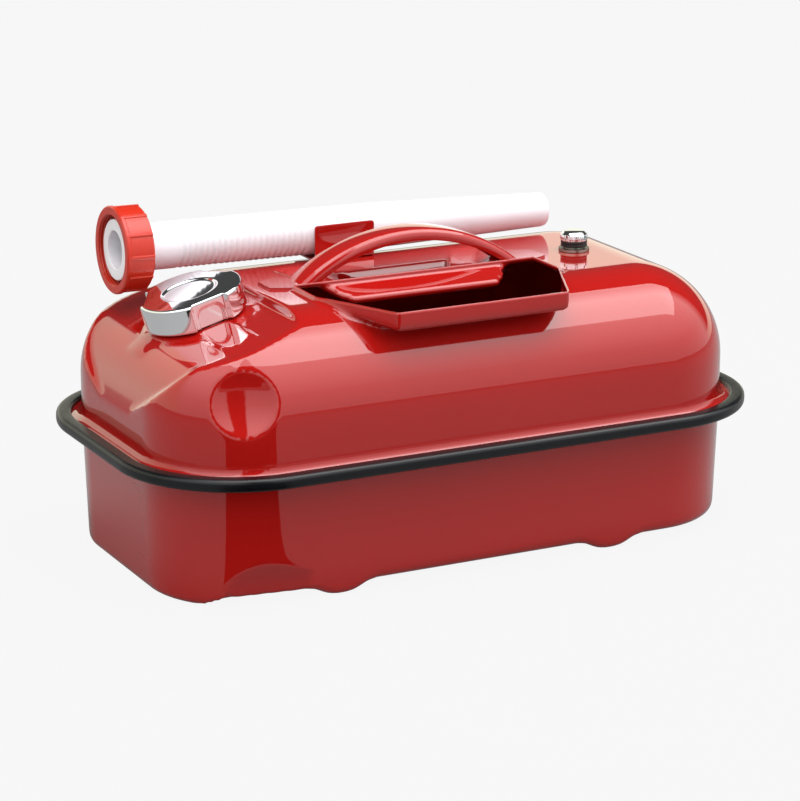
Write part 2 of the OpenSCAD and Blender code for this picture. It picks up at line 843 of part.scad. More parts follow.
// Bellows outline, drawn in by g: each rib has a crest, a flank and a root
function bellows(g) = let (pitch = bellows_l / rib_n) [
    for (i = [0:rib_n - 1], step = [[0, 0], [0.3, 0], [0.5, 1], [0.8, 1]])
        [tube_r - rib_d * step[1] - g, bellows_x + pitch * (i + step[0])]];
// The same points from the outlet end back
function back_along(pts) = [for (i = [len(pts) - 1:-1:0]) pts[i]];

// Blow-moulded spout: sealing flange, collar, bellows and tapered nozzle
module spout_tube() {
    lip = 2;
    head = [[spout_bore, flange_front], [spout_flange_r, flange_front], [spout_flange_r, flange_back],
            [tube_r, flange_back]];
    tail = [[tube_r, taper_x], [outlet_r, spout_l - lip], [outlet_r - tube_wall / 3, spout_l],
            [outlet_r - tube_wall, spout_l], [tube_r - tube_wall, taper_x]];
    color(polyethylene) at_spout() rotate_extrude()
        polygon(concat(head, bellows(0), tail, back_along(bellows(tube_wall)),
                       [[spout_bore, bellows_x - lip]]));
}

// Sealing washer on the front of the spout's flange
module spout_gasket() {
    color(polyethylene) at_spout() translate([0, 0, flange_front - washer_t]) difference() {
        cylinder(h = washer_t, r = spout_flange_r);
        cylinder(h = far, r = spout_bore, center = true);
    }
}

// Union nut that turns on the spout's collar
module spout_nut() {
    root_r = nut_r - grip_h;
    grip_w = 2.4;
    rim_w = 3;
    color(orange_red) at_spout() difference() {
        union() {
            cylinder(h = nut_l, r = root_r);
            for (k = [0:grip_n - 1])
                rotate(k * 360 / grip_n) translate([root_r - grip_w, -grip_w / 2, 0])
                    cube([grip_w + grip_h, grip_w, nut_l]);
            cylinder(h = rim_w, r = nut_r);
        }
        translate([0, 0, -1]) cylinder(h = nut_thread_l + 1, r = nut_bore);
        translate([0, 0, nut_thread_l]) cylinder(h = nut_mouth - nut_thread_l, r = nut_bore + nut_relief);
        cylinder(h = far, r = tube_r + slip, center = true);
    }
}

lower_shell();
upper_shell();
seam_trim();
handle();
filler_neck();
vent_bush();
spout_clip();
cap_shell();
cap_sleeve();
cap_gasket();
cap_disc();
vent_screw();
vent_seal();
spout_tube();
spout_gasket();
spout_nut();
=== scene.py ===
# %% [markdown]
# # A pressed-steel fuel can
# The real can is two deep-drawn steel shells, welded at a flange, enamelled red and edged with black rubber.
# A welded handle, a screw cap, a vent screw and a pouring spout in a clip sit on top.
# The construction is loaded first as a fixed frame, so that every piece modelled here lands where it belongs.

# %% Load the construction
import math

import bmesh
import bpy
from mathutils import Matrix, Vector


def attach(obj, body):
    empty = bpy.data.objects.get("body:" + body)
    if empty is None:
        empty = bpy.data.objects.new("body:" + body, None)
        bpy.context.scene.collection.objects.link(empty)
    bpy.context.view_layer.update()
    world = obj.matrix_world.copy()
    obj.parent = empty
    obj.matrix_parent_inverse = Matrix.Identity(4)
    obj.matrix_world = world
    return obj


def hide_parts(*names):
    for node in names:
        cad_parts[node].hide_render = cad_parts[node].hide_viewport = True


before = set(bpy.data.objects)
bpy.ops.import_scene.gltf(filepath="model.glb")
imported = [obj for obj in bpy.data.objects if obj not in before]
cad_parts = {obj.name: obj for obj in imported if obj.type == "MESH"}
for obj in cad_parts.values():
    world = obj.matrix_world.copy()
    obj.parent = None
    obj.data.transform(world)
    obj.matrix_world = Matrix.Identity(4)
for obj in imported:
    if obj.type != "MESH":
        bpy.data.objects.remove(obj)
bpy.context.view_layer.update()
MM = 0.001
print("nodes in the frame:", len(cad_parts))

# %% [markdown]
# ## Camera
# The picture was taken with a long lens from the front, a little to the filler end and a little above.
# A camera is turned by its own three directions here: right, up and back, worked out from two angles.

# %% Camera
AZIMUTH, ELEVATION = math.radians(-26.98), math.radians(16.03)
CAMERA_AT = Vector((-804.7, -1575.4, 587.5))
PICTURE_W, FOCAL_PX = 800, 3008
SENSOR_W = 36
SEES_TO = 60
back = Vector((math.sin(AZIMUTH) * math.cos(ELEVATION), -math.cos(AZIMUTH) * math.cos(ELEVATION),
               math.sin(ELEVATION)))
right = Vector((math.cos(AZIMUTH), math.sin(AZIMUTH), 0))
bpy.ops.object.camera_add()
camera = bpy.context.object
camera.matrix_world = Matrix.Translation(CAMERA_AT * MM) @ Matrix(
    (right, back.cross(right), back)).transposed().to_4x4()
camera.data.sensor_fit = "HORIZONTAL"
camera.data.sensor_width = SENSOR_W
camera.data.lens = SENSOR_W * FOCAL_PX / PICTURE_W
camera.data.clip_end = SEES_TO
bpy.context.scene.camera = camera
print("lens in millimetres:", round(camera.data.lens, 1))

# %% [markdown]
# ## Studio
# A glossy can is mostly a picture of what stands round it, here a white tent with one soft panel overhead.
# The tent could be built from sheets. It is the world instead, because a direction is all that it needs.
# It gets brighter upwards, has a low warm sheet behind that the flat top mirrors, an opening above that,
# and a narrow dark gap in front. A dark card on the floor carries the gap on, so the corner shows one strip.
# The floor is a pale diffuse sheet that the camera sees as an even near-white.

# %% Colour and node helpers
def colour(code):
    """An sRGB hex colour as linear RGBA, which is what shader sockets take."""
    parts = [int(code[i:i + 2], 16) / 255 for i in (1, 3, 5)]
    return tuple(p / 12.92 if p <= 0.04045 else ((p + 0.055) / 1.055) ** 2.4 for p in parts) + (1.0,)


def add_node(tree, kind, settings=None, links=None):
    """One node with its settings and links. A setting is an input's value, or else a property."""
    node = tree.nodes.new(kind)
    for name, value in (settings or {}).items():
        if isinstance(name, int) or name in node.inputs:
            node.inputs[name].default_value = value
        else:
            setattr(node, name, value)
    for name, source in (links or {}).items():
        tree.links.new(source, node.inputs[name])
    return node


def blank(name):
    """A new material with an empty node tree and its output node."""
    material = bpy.data.materials.new(name)
    material.use_nodes = True
    material.node_tree.nodes.clear()
    return material, material.node_tree, material.node_tree.nodes.new("ShaderNodeOutputMaterial")


# %% Selection helpers
def deselect():
    """Back to object mode with nothing selected, because an operator acts on all that is selected."""
    if bpy.context.object and bpy.context.object.mode != "OBJECT":
        bpy.ops.object.mode_set(mode="OBJECT")
    bpy.ops.object.select_all(action="DESELECT")


def edit(piece):
    """Edit mode on one piece, with all of it selected."""
    deselect()
    bpy.context.view_layer.objects.active = piece
    piece.select_set(True)
    bpy.ops.object.mode_set(mode="EDIT")
    bpy.ops.mesh.select_all(action="SELECT")


def pick(kind, test):
    """In edit mode, select the verts, edges or faces that pass the test."""
    bpy.ops.mesh.select_mode(type={"verts": "VERT", "edges": "EDGE", "faces": "FACE"}[kind])
    bpy.ops.mesh.select_all(action="DESELECT")
    mesh = bmesh.from_edit_mesh(bpy.context.edit_object.data)
    for item in getattr(mesh, kind):
        if test(item):
            item.select_set(True)
    mesh.select_flush_mode()
    bmesh.update_edit_mesh(bpy.context.edit_object.data)


def modify(piece, kind, **settings):
    """Add a modifier and apply it at once."""
    deselect()
    bpy.context.view_layer.objects.active = piece
    piece.select_set(True)
    modifier = piece.modifiers.new("step", kind)
    for name, value in settings.items():
        setattr(modifier, name, value)
    bpy.ops.object.modifier_apply(modifier=modifier.name)


# %% Floor
FLOOR_SIDE = 14
CAMERA_SHARE, GLOSS_SHARE = 0.94, 0.05
bpy.ops.mesh.primitive_plane_add(size=FLOOR_SIDE)
floor = bpy.context.object
floor.name = "floor"
paper, tree, out = blank("white_paper_floor")
sees = add_node(tree, "ShaderNodeLightPath")
matt = add_node(tree, "ShaderNodeBsdfDiffuse", {"Color": colour("#8c8c8c")})
glow = add_node(tree, "ShaderNodeEmission", {"Color": colour("#fbfbfb"), "Strength": 1.0})
clear = add_node(tree, "ShaderNodeMath", {"operation": "MAXIMUM"},
                 {0: sees.outputs["Is Camera Ray"], 1: sees.outputs["Is Transmission Ray"]})
faint = add_node(tree, "ShaderNodeMath", {"operation": "MULTIPLY", 1: GLOSS_SHARE},
                 {0: sees.outputs["Is Glossy Ray"]})
share = add_node(tree, "ShaderNodeMath", {"operation": "MULTIPLY_ADD", 1: CAMERA_SHARE},
                 {0: clear.outputs[0], 2: faint.outputs[0]})
blend = add_node(tree, "ShaderNodeMixShader", None,
                 {0: share.outputs[0], 1: matt.outputs[0], 2: glow.outputs[0]})
tree.links.new(blend.outputs[0], out.inputs["Surface"])
floor.data.materials.append(paper)
print("floor side in metres:", FLOOR_SIDE)

# %% Dark card
CORNER = Vector((-129.5, -42.5, 0.4)) * MM
CARD_FROM, CARD_TO, CARD_STEP = -15, 37, 4
CARD_NEAR, CARD_REACH = 0.09, 1.6
bpy.ops.mesh.primitive_plane_add(size=MM, location=CORNER)
card = bpy.context.object
card.name = "dark_card"
bpy.ops.object.transform_apply(location=True)
edit(card)
bpy.ops.mesh.merge(type="CENTER")
angles = [math.radians(a) for a in range(CARD_FROM, CARD_TO + 1, CARD_STEP)]
fan = [Vector((-math.sin(a), -math.cos(a), 0)) for a in angles]
walk = [CORNER] + [CORNER + CARD_NEAR * ray for ray in fan]
walk += [CORNER + CARD_REACH * ray for ray in reversed(fan)]
for here, there in zip(walk, walk[1:]):
    bpy.ops.mesh.extrude_vertices_move(TRANSFORM_OT_translate={"value": there - here})
pick("verts", lambda v: (v.co - CORNER).length < MM)
bpy.ops.mesh.delete(type="VERT")
bpy.ops.mesh.select_all(action="SELECT")
bpy.ops.mesh.edge_face_add()
deselect()
felt, tree, out = blank("black_felt_card")
pile = add_node(tree, "ShaderNodeBsdfDiffuse", {"Color": colour("#161616")})
tree.links.new(pile.outputs[0], out.inputs["Surface"])
card.data.materials.append(felt)
card.visible_camera = False
card.visible_diffuse = False
card.visible_shadow = False
print("card corners:", len(card.data.vertices))

# %% Overhead panel
# A radiance of 1 would show as white in a perfect mirror.
OVERHEAD_AT = (0.55, -0.29, 1.66)
OVERHEAD_L, OVERHEAD_W, OVERHEAD_RADIANCE = 2.3, 1.42, 2.8
bpy.ops.object.light_add(type="AREA", location=OVERHEAD_AT)
lamp = bpy.context.object
lamp.name = "overhead"
lamp.data.shape = "RECTANGLE"
lamp.data.size = OVERHEAD_L
lamp.data.size_y = OVERHEAD_W
lamp.data.energy = OVERHEAD_RADIANCE * math.pi * OVERHEAD_L * OVERHEAD_W
lamp.rotation_euler = Vector((0, 0, -1)).to_track_quat("-Z", "Y").to_euler()
lamp.visible_camera = False
print("panel energy:", round(lamp.data.energy, 1))

# %% Tent
TENT_LEVELS = ((0.0, 1.0), (0.3, 1.25), (0.55, 1.9), (0.75, 2.4))
TENT_STRENGTH = 2.5
REAR_SOFT = 0.2
BAND_SKEW, BAND_TOP, BAND_SOFT = 0.35, 0.415, 0.015
OPENING_LEVEL, GAP_LEVEL = 0.06, 0.03
GAP_AT, GAP_HALF, GAP_SOFT = math.radians(6), math.radians(12), math.radians(1.5)


def grey(level):
    """An even grey of a radiance, as a part of the tent's strength."""
    return (level / TENT_STRENGTH,) * 3 + (1.0,)


world = bpy.data.worlds.new("studio_tent")
world.use_nodes = True
tree = world.node_tree
tree.nodes.clear()
sees = add_node(tree, "ShaderNodeLightPath")
way = add_node(tree, "ShaderNodeTexCoord")
axes = add_node(tree, "ShaderNodeSeparateXYZ", None, {0: way.outputs["Generated"]})
walls = add_node(tree, "ShaderNodeValToRGB", None, {"Fac": axes.outputs["Z"]})
stops = walls.color_ramp.elements
stops[0].position, stops[0].color = TENT_LEVELS[0][0], grey(TENT_LEVELS[0][1])
stops[1].position, stops[1].color = TENT_LEVELS[-1][0], grey(TENT_LEVELS[-1][1])
for height, radiance in TENT_LEVELS[1:-1]:
    stops.new(height).color = grey(radiance)
rear = add_node(tree, "ShaderNodeMapRange", {"From Min": 0.0, "From Max": REAR_SOFT},
                {"Value": axes.outputs["Y"]})
skewed = add_node(tree, "ShaderNodeMath", {"operation": "MULTIPLY_ADD", 1: BAND_SKEW},
                  {0: axes.outputs["X"], 2: axes.outputs["Z"]})
upper = add_node(tree, "ShaderNodeMapRange", {"From Min": BAND_TOP, "From Max": BAND_TOP + BAND_SOFT},
                 {"Value": skewed.outputs[0]})
lower = add_node(tree, "ShaderNodeMath", {"operation": "SUBTRACT", 0: 1.0}, {1: upper.outputs[0]})
low_band = add_node(tree, "ShaderNodeMath", {"operation": "MULTIPLY"},
                    {0: rear.outputs[0], 1: lower.outputs[0]})
opening = add_node(tree, "ShaderNodeMath", {"operation": "MULTIPLY"},
                   {0: rear.outputs[0], 1: upper.outputs[0]})
minus_x = add_node(tree, "ShaderNodeMath", {"operation": "MULTIPLY", 1: -1.0}, {0: axes.outputs["X"]})
minus_y = add_node(tree, "ShaderNodeMath", {"operation": "MULTIPLY", 1: -1.0}, {0: axes.outputs["Y"]})
turn_to = add_node(tree, "ShaderNodeMath", {"operation": "ARCTAN2"},
                   {0: minus_x.outputs[0], 1: minus_y.outputs[0]})
off_gap = add_node(tree, "ShaderNodeMath", {"operation": "SUBTRACT", 1: GAP_AT}, {0: turn_to.outputs[0]})
width = add_node(tree, "ShaderNodeMath", {"operation": "ABSOLUTE"}, {0: off_gap.outputs[0]})
beside = add_node(tree, "ShaderNodeMapRange",
                  {"From Min": GAP_HALF - GAP_SOFT, "From Max": GAP_HALF + GAP_SOFT},
                  {"Value": width.outputs[0]})
sheeted = add_node(tree, "ShaderNodeMix", {"data_type": "RGBA"},
                   {0: low_band.outputs[0], 6: walls.outputs[0]})
sheeted.inputs[7].default_value = colour("#b0b0a1")
opened = add_node(tree, "ShaderNodeMix", {"data_type": "RGBA"},
                  {0: opening.outputs[0], 6: sheeted.outputs[2]})
opened.inputs[7].default_value = grey(OPENING_LEVEL)
tent = add_node(tree, "ShaderNodeMix", {"data_type": "RGBA"}, {0: beside.outputs[0], 7: opened.outputs[2]})
tent.inputs[6].default_value = grey(GAP_LEVEL)
inside = add_node(tree, "ShaderNodeBackground", {"Strength": TENT_STRENGTH}, {"Color": tent.outputs[2]})
white = add_node(tree, "ShaderNodeBackground", {"Color": colour("#f7f7f7"), "Strength": 1.0})
room = add_node(tree, "ShaderNodeMixShader", None,
                {0: sees.outputs["Is Camera Ray"], 1: inside.outputs[0], 2: white.outputs[0]})
add_node(tree, "ShaderNodeOutputWorld", None, {"Surface": room.outputs[0]})
bpy.context.scene.world = world
bpy.context.scene.view_settings.view_transform = "Standard"
print("tent nodes:", len(tree.nodes))

# %% [markdown]
# ## Finishes
# Each finish starts from the real material and how its surface was made. An image could carry the small
# unevenness of paint or plastic, but noise of a real size needs no file and fits every piece.
# Patterns read Object coordinates, so a scale is one over the wanted size in metres.

# %% Red baked enamel
# Sprayed and baked over steel: deep colour, a hard clear gloss, and a faint orange peel of about 4 mm.
# Its refractive index is below the usual 1.5, so that the bright tent mirrors as weakly as on the real can.
enamel, tree, out = blank("red_baked_enamel")
place = add_node(tree, "ShaderNodeTexCoord")
cloud = add_node(tree, "ShaderNodeTexNoise", {"Scale": 1 / (90 * MM), "Detail": 2.0},
                 {"Vector": place.outputs["Object"]})
tint = add_node(tree, "ShaderNodeMix", {"data_type": "RGBA"}, {0: cloud.outputs["Fac"]})
tint.inputs[6].default_value = colour("#a01310")
tint.inputs[7].default_value = colour("#a71611")
peel = add_node(tree, "ShaderNodeTexNoise", {"Scale": 1 / (4 * MM), "Detail": 1.0},
                {"Vector": place.outputs["Object"]})
dents = add_node(tree, "ShaderNodeBump", {"Strength": 0.05, "Distance": 0.1 * MM},
                 {"Height": peel.outputs["Fac"]})
haze = add_node(tree, "ShaderNodeMapRange", {"To Min": 0.04, "To Max": 0.06}, {"Value": cloud.outputs["Fac"]})
paint = add_node(tree, "ShaderNodeBsdfPrincipled",
                 {"IOR": 1.4, "Coat Weight": 1.0, "Coat Roughness": 0.02, "Coat IOR": 1.4},
                 {"Base Color": tint.outputs[2], "Roughness": haze.outputs[0], "Normal": dents.outputs[0]})
tree.links.new(paint.outputs[0], out.inputs["Surface"])
print("finish:", enamel.name)

# %% Black extruded rubber
# Extruded edging: black with a soft gloss, a bloom in patches of about 12 mm and a grain of about 1 mm.
edging, tree, out = blank("black_extruded_rubber")
place = add_node(tree, "ShaderNodeTexCoord")
bloom = add_node(tree, "ShaderNodeTexNoise", {"Scale": 1 / (12 * MM), "Detail": 4.0},
                 {"Vector": place.outputs["Object"]})
tint = add_node(tree, "ShaderNodeMix", {"data_type": "RGBA"}, {0: bloom.outputs["Fac"]})
tint.inputs[6].default_value = colour("#06070a")
tint.inputs[7].default_value = colour("#0e1014")
grain = add_node(tree, "ShaderNodeTexNoise", {"Scale": 1 / (1 * MM), "Detail": 2.0},
                 {"Vector": place.outputs["Object"]})
skin = add_node(tree, "ShaderNodeBump", {"Strength": 0.15, "Distance": 0.1 * MM},
                {"Height": grain.outputs["Fac"]})
haze = add_node(tree, "ShaderNodeMapRange", {"To Min": 0.24, "To Max": 0.32}, {"Value": bloom.outputs["Fac"]})
rubber = add_node(tree, "ShaderNodeBsdfPrincipled", {"IOR": 1.4},
                  {"Base Color": tint.outputs[2], "Roughness": haze.outputs[0], "Normal": skin.outputs[0]})
tree.links.new(rubber.outputs[0], out.inputs["Surface"])
print("finish:", edging.name)

# %% Moulded seal rubber
# Nitrile rings: duller than the edging, with a sandy mould skin of about half a millimetre.
seal, tree, out = blank("moulded_nitrile_rubber")
place = add_node(tree, "ShaderNodeTexCoord")
grain = add_node(tree, "ShaderNodeTexNoise", {"Scale": 1 / (0.5 * MM), "Detail": 2.0},
                 {"Vector": place.outputs["Object"]})
tint = add_node(tree, "ShaderNodeMix", {"data_type": "RGBA"}, {0: grain.outputs["Fac"]})
tint.inputs[6].default_value = colour("#0d0d0e")
tint.inputs[7].default_value = colour("#191919")
skin = add_node(tree, "ShaderNodeBump", {"Strength": 0.2, "Distance": 0.1 * MM},
                {"Height": grain.outputs["Fac"]})
nitrile = add_node(tree, "ShaderNodeBsdfPrincipled", {"Roughness": 0.5, "IOR": 1.52},
                   {"Base Color": tint.outputs[2], "Normal": skin.outputs[0]})
tree.links.new(nitrile.outputs[0], out.inputs["Surface"])
print("finish:", seal.name)

# %% Chrome plate
# Polished steel plated with chrome: a near mirror, faintly blue, with light buffing marks of about 3 mm.
chrome, tree, out = blank("polished_chrome_plate")
place = add_node(tree, "ShaderNodeTexCoord")
buff = add_node(tree, "ShaderNodeTexNoise", {"Scale": 1 / (3 * MM), "Detail": 3.0},
                {"Vector": place.outputs["Object"]})
haze = add_node(tree, "ShaderNodeMapRange", {"To Min": 0.04, "To Max": 0.09}, {"Value": buff.outputs["Fac"]})
plate = add_node(tree, "ShaderNodeBsdfPrincipled", {"Base Color": colour("#f0f2f4"), "Metallic": 1.0},
                 {"Roughness": haze.outputs[0]})
tree.links.new(plate.outputs[0], out.inputs["Surface"])
print("finish:", chrome.name)

# %% Zinc plate
# Zinc on the threaded steel inside: a grey metal with a mottled passivated bloom of about 2 mm.
zinc, tree, out = blank("passivated_zinc_plate")
place = add_node(tree, "ShaderNodeTexCoord")
bloom = add_node(tree, "ShaderNodeTexNoise", {"Scale": 1 / (2 * MM), "Detail": 3.0},
                 {"Vector": place.outputs["Object"]})
tint = add_node(tree, "ShaderNodeMix", {"data_type": "RGBA"}, {0: bloom.outputs["Fac"]})
tint.inputs[6].default_value = colour("#8e8c84")
tint.inputs[7].default_value = colour("#b3b1a6")
haze = add_node(tree, "ShaderNodeMapRange", {"To Min": 0.22, "To Max": 0.4}, {"Value": bloom.outputs["Fac"]})
coating = add_node(tree, "ShaderNodeBsdfPrincipled", {"Metallic": 1.0},
                   {"Base Color": tint.outputs[2], "Roughness": haze.outputs[0]})
tree.links.new(coating.outputs[0], out.inputs["Surface"])
print("finish:", zinc.name)

# %% Natural polyethylene
# Blow-moulded without pigment: milky white, waxy, light goes a few millimetres in.
milky, tree, out = blank("blow_moulded_polyethylene")
place = add_node(tree, "ShaderNodeTexCoord")
cloud = add_node(tree, "ShaderNodeTexNoise", {"Scale": 1 / (20 * MM), "Detail": 2.0},
                 {"Vector": place.outputs["Object"]})
tint = add_node(tree, "ShaderNodeMix", {"data_type": "RGBA"}, {0: cloud.outputs["Fac"]})
tint.inputs[6].default_value = colour("#e8e5eb")
tint.inputs[7].default_value = colour("#efedf2")
haze = add_node(tree, "ShaderNodeMapRange", {"To Min": 0.34, "To Max": 0.46}, {"Value": cloud.outputs["Fac"]})
wax = add_node(tree, "ShaderNodeBsdfPrincipled",
               {"IOR": 1.51, "Subsurface Weight": 0.4, "Subsurface Scale": 4 * MM,
                "Subsurface Radius": (1.0, 1.0, 1.0)},
               {"Base Color": tint.outputs[2], "Roughness": haze.outputs[0]})
tree.links.new(wax.outputs[0], out.inputs["Surface"])
print("finish:", milky.name)

# %% Orange-red polyethylene
# Injection moulded and pigmented: even colour, satin gloss, faint flow marks of about 8 mm.
orange, tree, out = blank("injection_moulded_polyethylene")
place = add_node(tree, "ShaderNodeTexCoord")
flow = add_node(tree, "ShaderNodeTexNoise", {"Scale": 1 / (8 * MM), "Detail": 2.0},
                {"Vector": place.outputs["Object"]})
tint = add_node(tree, "ShaderNodeMix", {"data_type": "RGBA"}, {0: flow.outputs["Fac"]})
tint.inputs[6].default_value = colour("#b82410")
tint.inputs[7].default_value = colour("#c22b13")
haze = add_node(tree, "ShaderNodeMapRange", {"To Min": 0.24, "To Max": 0.34}, {"Value": flow.outputs["Fac"]})
plastic = add_node(tree, "ShaderNodeBsdfPrincipled",
                   {"IOR": 1.51, "Subsurface Weight": 0.1, "Subsurface Scale": 2 * MM},
                   {"Base Color": tint.outputs[2], "Roughness": haze.outputs[0]})
tree.links.new(plastic.outputs[0], out.inputs["Surface"])
print("finish:", orange.name)

# %% [markdown]
# ## Shared steps
# The same few hand steps come back in every piece: draw a line by extruding one point, close it to a face,
# extrude that to a block, spin it to a turned piece, cut one block with another, and put it on its body.

# %% Drawing, blocks and turned pieces
def draw_line(name, points, closed=False):
    """Walk one point through a list of places in millimetres and leave an edge behind each step."""
    deselect()
    points = [Vector(p) * MM for p in points]
    bpy.ops.mesh.primitive_plane_add(size=MM, location=points[0])
    piece = bpy.context.object
    piece.name = name
    bpy.ops.object.transform_apply(location=True)
    edit(piece)
    bpy.ops.mesh.select_mode(type="VERT")
    bpy.ops.mesh.merge(type="CENTER")
    for here, there in zip(points, points[1:]):
        bpy.ops.mesh.extrude_vertices_move(TRANSFORM_OT_translate={"value": there - here})
    if closed:
        last = points[-1]
        pick("verts", lambda v: (v.co - points[0]).length < 1e-6 or (v.co - last).length < 1e-6)
        bpy.ops.mesh.edge_face_add()
    bpy.ops.mesh.select_all(action="SELECT")
    return piece


def block(name, points, move):
    """A closed outline filled and extruded by a vector."""
    piece = draw_line(name, points, closed=True)
    bpy.ops.mesh.edge_face_add()
    bpy.ops.mesh.extrude_region_move(TRANSFORM_OT_translate={"value": Vector(move) * MM})
    bpy.ops.mesh.select_all(action="SELECT")
    bpy.ops.mesh.normals_make_consistent(inside=False)
    return piece


def turned(name, profile, steps=96, closed=False):
    """Spin a line of (radius, height) points round the Z axis."""
    piece = draw_line(name, [(r, 0, h) for r, h in profile], closed)
    bpy.ops.mesh.spin(steps=steps, angle=2 * math.pi, center=(0, 0, 0), axis=(0, 0, 1))
    bpy.ops.mesh.select_all(action="SELECT")
    bpy.ops.mesh.remove_doubles(threshold=0.005 * MM)
    bpy.ops.mesh.normals_make_consistent(inside=False)
    return piece


def put(piece, place=(0, 0, 0), turn=(0, 0, 0)):
    """Turn and move a piece, then bake that into its mesh, so the object stays at the origin."""
    deselect()
    bpy.context.view_layer.objects.active = piece
    piece.select_set(True)
    piece.rotation_euler = [math.radians(t) for t in turn]
    piece.location = Vector(place) * MM
    bpy.ops.object.transform_apply(location=True, rotation=True, scale=True)
    return piece


def cut(piece, *tools, how="DIFFERENCE"):
    """Cut a piece with others, or weld them on, and throw the tools away."""
    for tool in tools:
        deselect()
        modify(piece, "BOOLEAN", object=tool, operation=how, solver="EXACT")
        bpy.data.objects.remove(tool)


def join(piece, *others):
    """Put overlapping solids into one mesh. Skinning it later with a grid melts them together."""
    deselect()
    for other in others:
        other.select_set(True)
    piece.select_set(True)
    bpy.context.view_layer.objects.active = piece
    bpy.ops.object.join()


def arc(centre, radius, start, end, count):
    """Points of an arc in a plane, in degrees."""
    return [(centre[0] + radius * math.cos(math.radians(start + (end - start) * i / count)),
             centre[1] + radius * math.sin(math.radians(start + (end - start) * i / count)))
            for i in range(count + 1)]


def finish_piece(piece, name, finish, body, slot, *nodes, angle=None):
    """Name, smooth, paint and seat a finished piece."""
    deselect()
    bpy.context.view_layer.objects.active = piece
    piece.select_set(True)
    piece.name = piece.data.name = name
    if angle:
        bpy.ops.object.shade_smooth_by_angle(angle=math.radians(angle))
    else:
        bpy.ops.object.shade_smooth()
    piece.data.materials.clear()
    piece.data.materials.append(finish)
    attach(piece, body)
    if nodes:
        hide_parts(*nodes)
    piece.data.calc_loop_triangles()
    print(name, "triangles:", len(piece.data.loop_triangles))
    return piece


# %% [markdown]
# ## Upper shell
# The top was drawn from one sheet: a flange, an upright wall, a wide round shoulder, then pressed-in forms.
# It could be a subdivision cage, but the forms meet at odd angles, and blocks cut from a solid are easier.
# The solid is then skinned with an even grid and softened, so every crease gets the small radius of a press.

# %% The plain dome
BODY_L, BODY_W, CORNER_R = 379, 205, 60
FLANGE_W, SHEET, SEAM_FILLET = 12.5, 0.9, 4
SEAM_Z, TOP_Z, SHOULDER_R = 78.1, 161.1, 56
UNDER = 8
ROUND_STEPS, SHOULDER_STEPS = 64, 44


def rounded_block(name, length, width, radius, low, high):
    """A box with rounded upright corners, left in edit mode."""
    deselect()
    bpy.ops.mesh.primitive_cube_add(size=1, location=(0, 0, (low + high) / 2 * MM))
    piece = bpy.context.object
    piece.name = name
    piece.scale = (length * MM, width * MM, (high - low) * MM)
    bpy.ops.object.transform_apply(location=True, rotation=True, scale=True)
    edit(piece)
    pick("edges", lambda e: abs(e.verts[0].co.z - e.verts[1].co.z) > MM)
    bpy.ops.mesh.bevel(offset=radius * MM, segments=ROUND_STEPS, affect="EDGES", clamp_overlap=False)
    return piece


def level(z):
    """A test for edges that lie at a height in millimetres."""
    return lambda e: all(abs(v.co.z - z * MM) < 0.01 * MM for v in e.verts)


top = rounded_block("top", BODY_L + 2 * FLANGE_W, BODY_W + 2 * FLANGE_W, CORNER_R + FLANGE_W,
                    SEAM_Z - UNDER, SEAM_Z + SHEET)
pick("faces", lambda f: f.normal.z > 0.9)
bpy.ops.mesh.inset(thickness=FLANGE_W * MM)
bpy.ops.mesh.extrude_region_move(TRANSFORM_OT_translate={"value": (0, 0, (TOP_Z - SEAM_Z - SHEET) * MM)})
pick("edges", lambda e: level(SEAM_Z + SHEET)(e) and not e.is_convex)
bpy.ops.mesh.bevel(offset=SEAM_FILLET * MM, segments=6, affect="EDGES", clamp_overlap=False)
pick("edges", level(TOP_Z))
bpy.ops.mesh.bevel(offset=SHOULDER_R * MM, segments=SHOULDER_STEPS, affect="EDGES", clamp_overlap=False)
deselect()
print("dome faces:", len(top.data.polygons))

# %% The filler slope, its end facet and side bevels
STEP_X, STEP_DROP, STEP_LEAN, STEP_TOP = 102, 5.2, 6, 195
SLOPE, END_A, KNEE_R = 15, 72, 35
END_Z, END_FOOT, END_LEG = SEAM_Z + 22, 20, 60
SIDE_NORMAL = (-0.4498, -0.4067, 0.7951)
WIDE, OVERLAP = 150, 0.5
ABOVE_X, ABOVE_Z = 260, 260
FACET_X, FACET_Z = 300, 240


def tan(degrees):
    """Tangent of an angle in degrees."""
    return math.tan(math.radians(degrees))


def cos(degrees):
    """Cosine of an angle in degrees."""
    return math.cos(math.radians(degrees))


def sin(degrees):
    """Sine of an angle in degrees."""
    return math.sin(math.radians(degrees))


def slope_z(x):
    """Height of the filler slope at a distance from the middle."""
    return TOP_Z - STEP_DROP - (x - STEP_X) * tan(SLOPE)


above = block("above", [(-STEP_X, -WIDE, slope_z(STEP_X)), (-ABOVE_X, -WIDE, slope_z(ABOVE_X)),
                        (-ABOVE_X, -WIDE, ABOVE_Z), (-STEP_X + STEP_LEAN, -WIDE, STEP_TOP)], (0, 2 * WIDE, 0))
knee_x = (slope_z(0) - END_Z - BODY_L / 2 * tan(END_A)) / (tan(SLOPE) - tan(END_A))
knee_t = KNEE_R * tan((END_A - SLOPE) / 2)
knee_c = (-(knee_x - knee_t * cos(SLOPE) - KNEE_R * sin(SLOPE)),
          slope_z(knee_x) + knee_t * sin(SLOPE) - KNEE_R * cos(SLOPE))
bend = arc(knee_c, KNEE_R, 90 + SLOPE, 90 + END_A, 24)
lowest = (bend[-1][0] - END_LEG * cos(END_A), bend[-1][1] - END_LEG * sin(END_A))
start_x = STEP_X + OVERLAP
outline = [(-start_x, slope_z(start_x))] + bend + [lowest, (-FACET_X, lowest[1]), (-FACET_X, FACET_Z),
                                                   (-start_x, FACET_Z)]
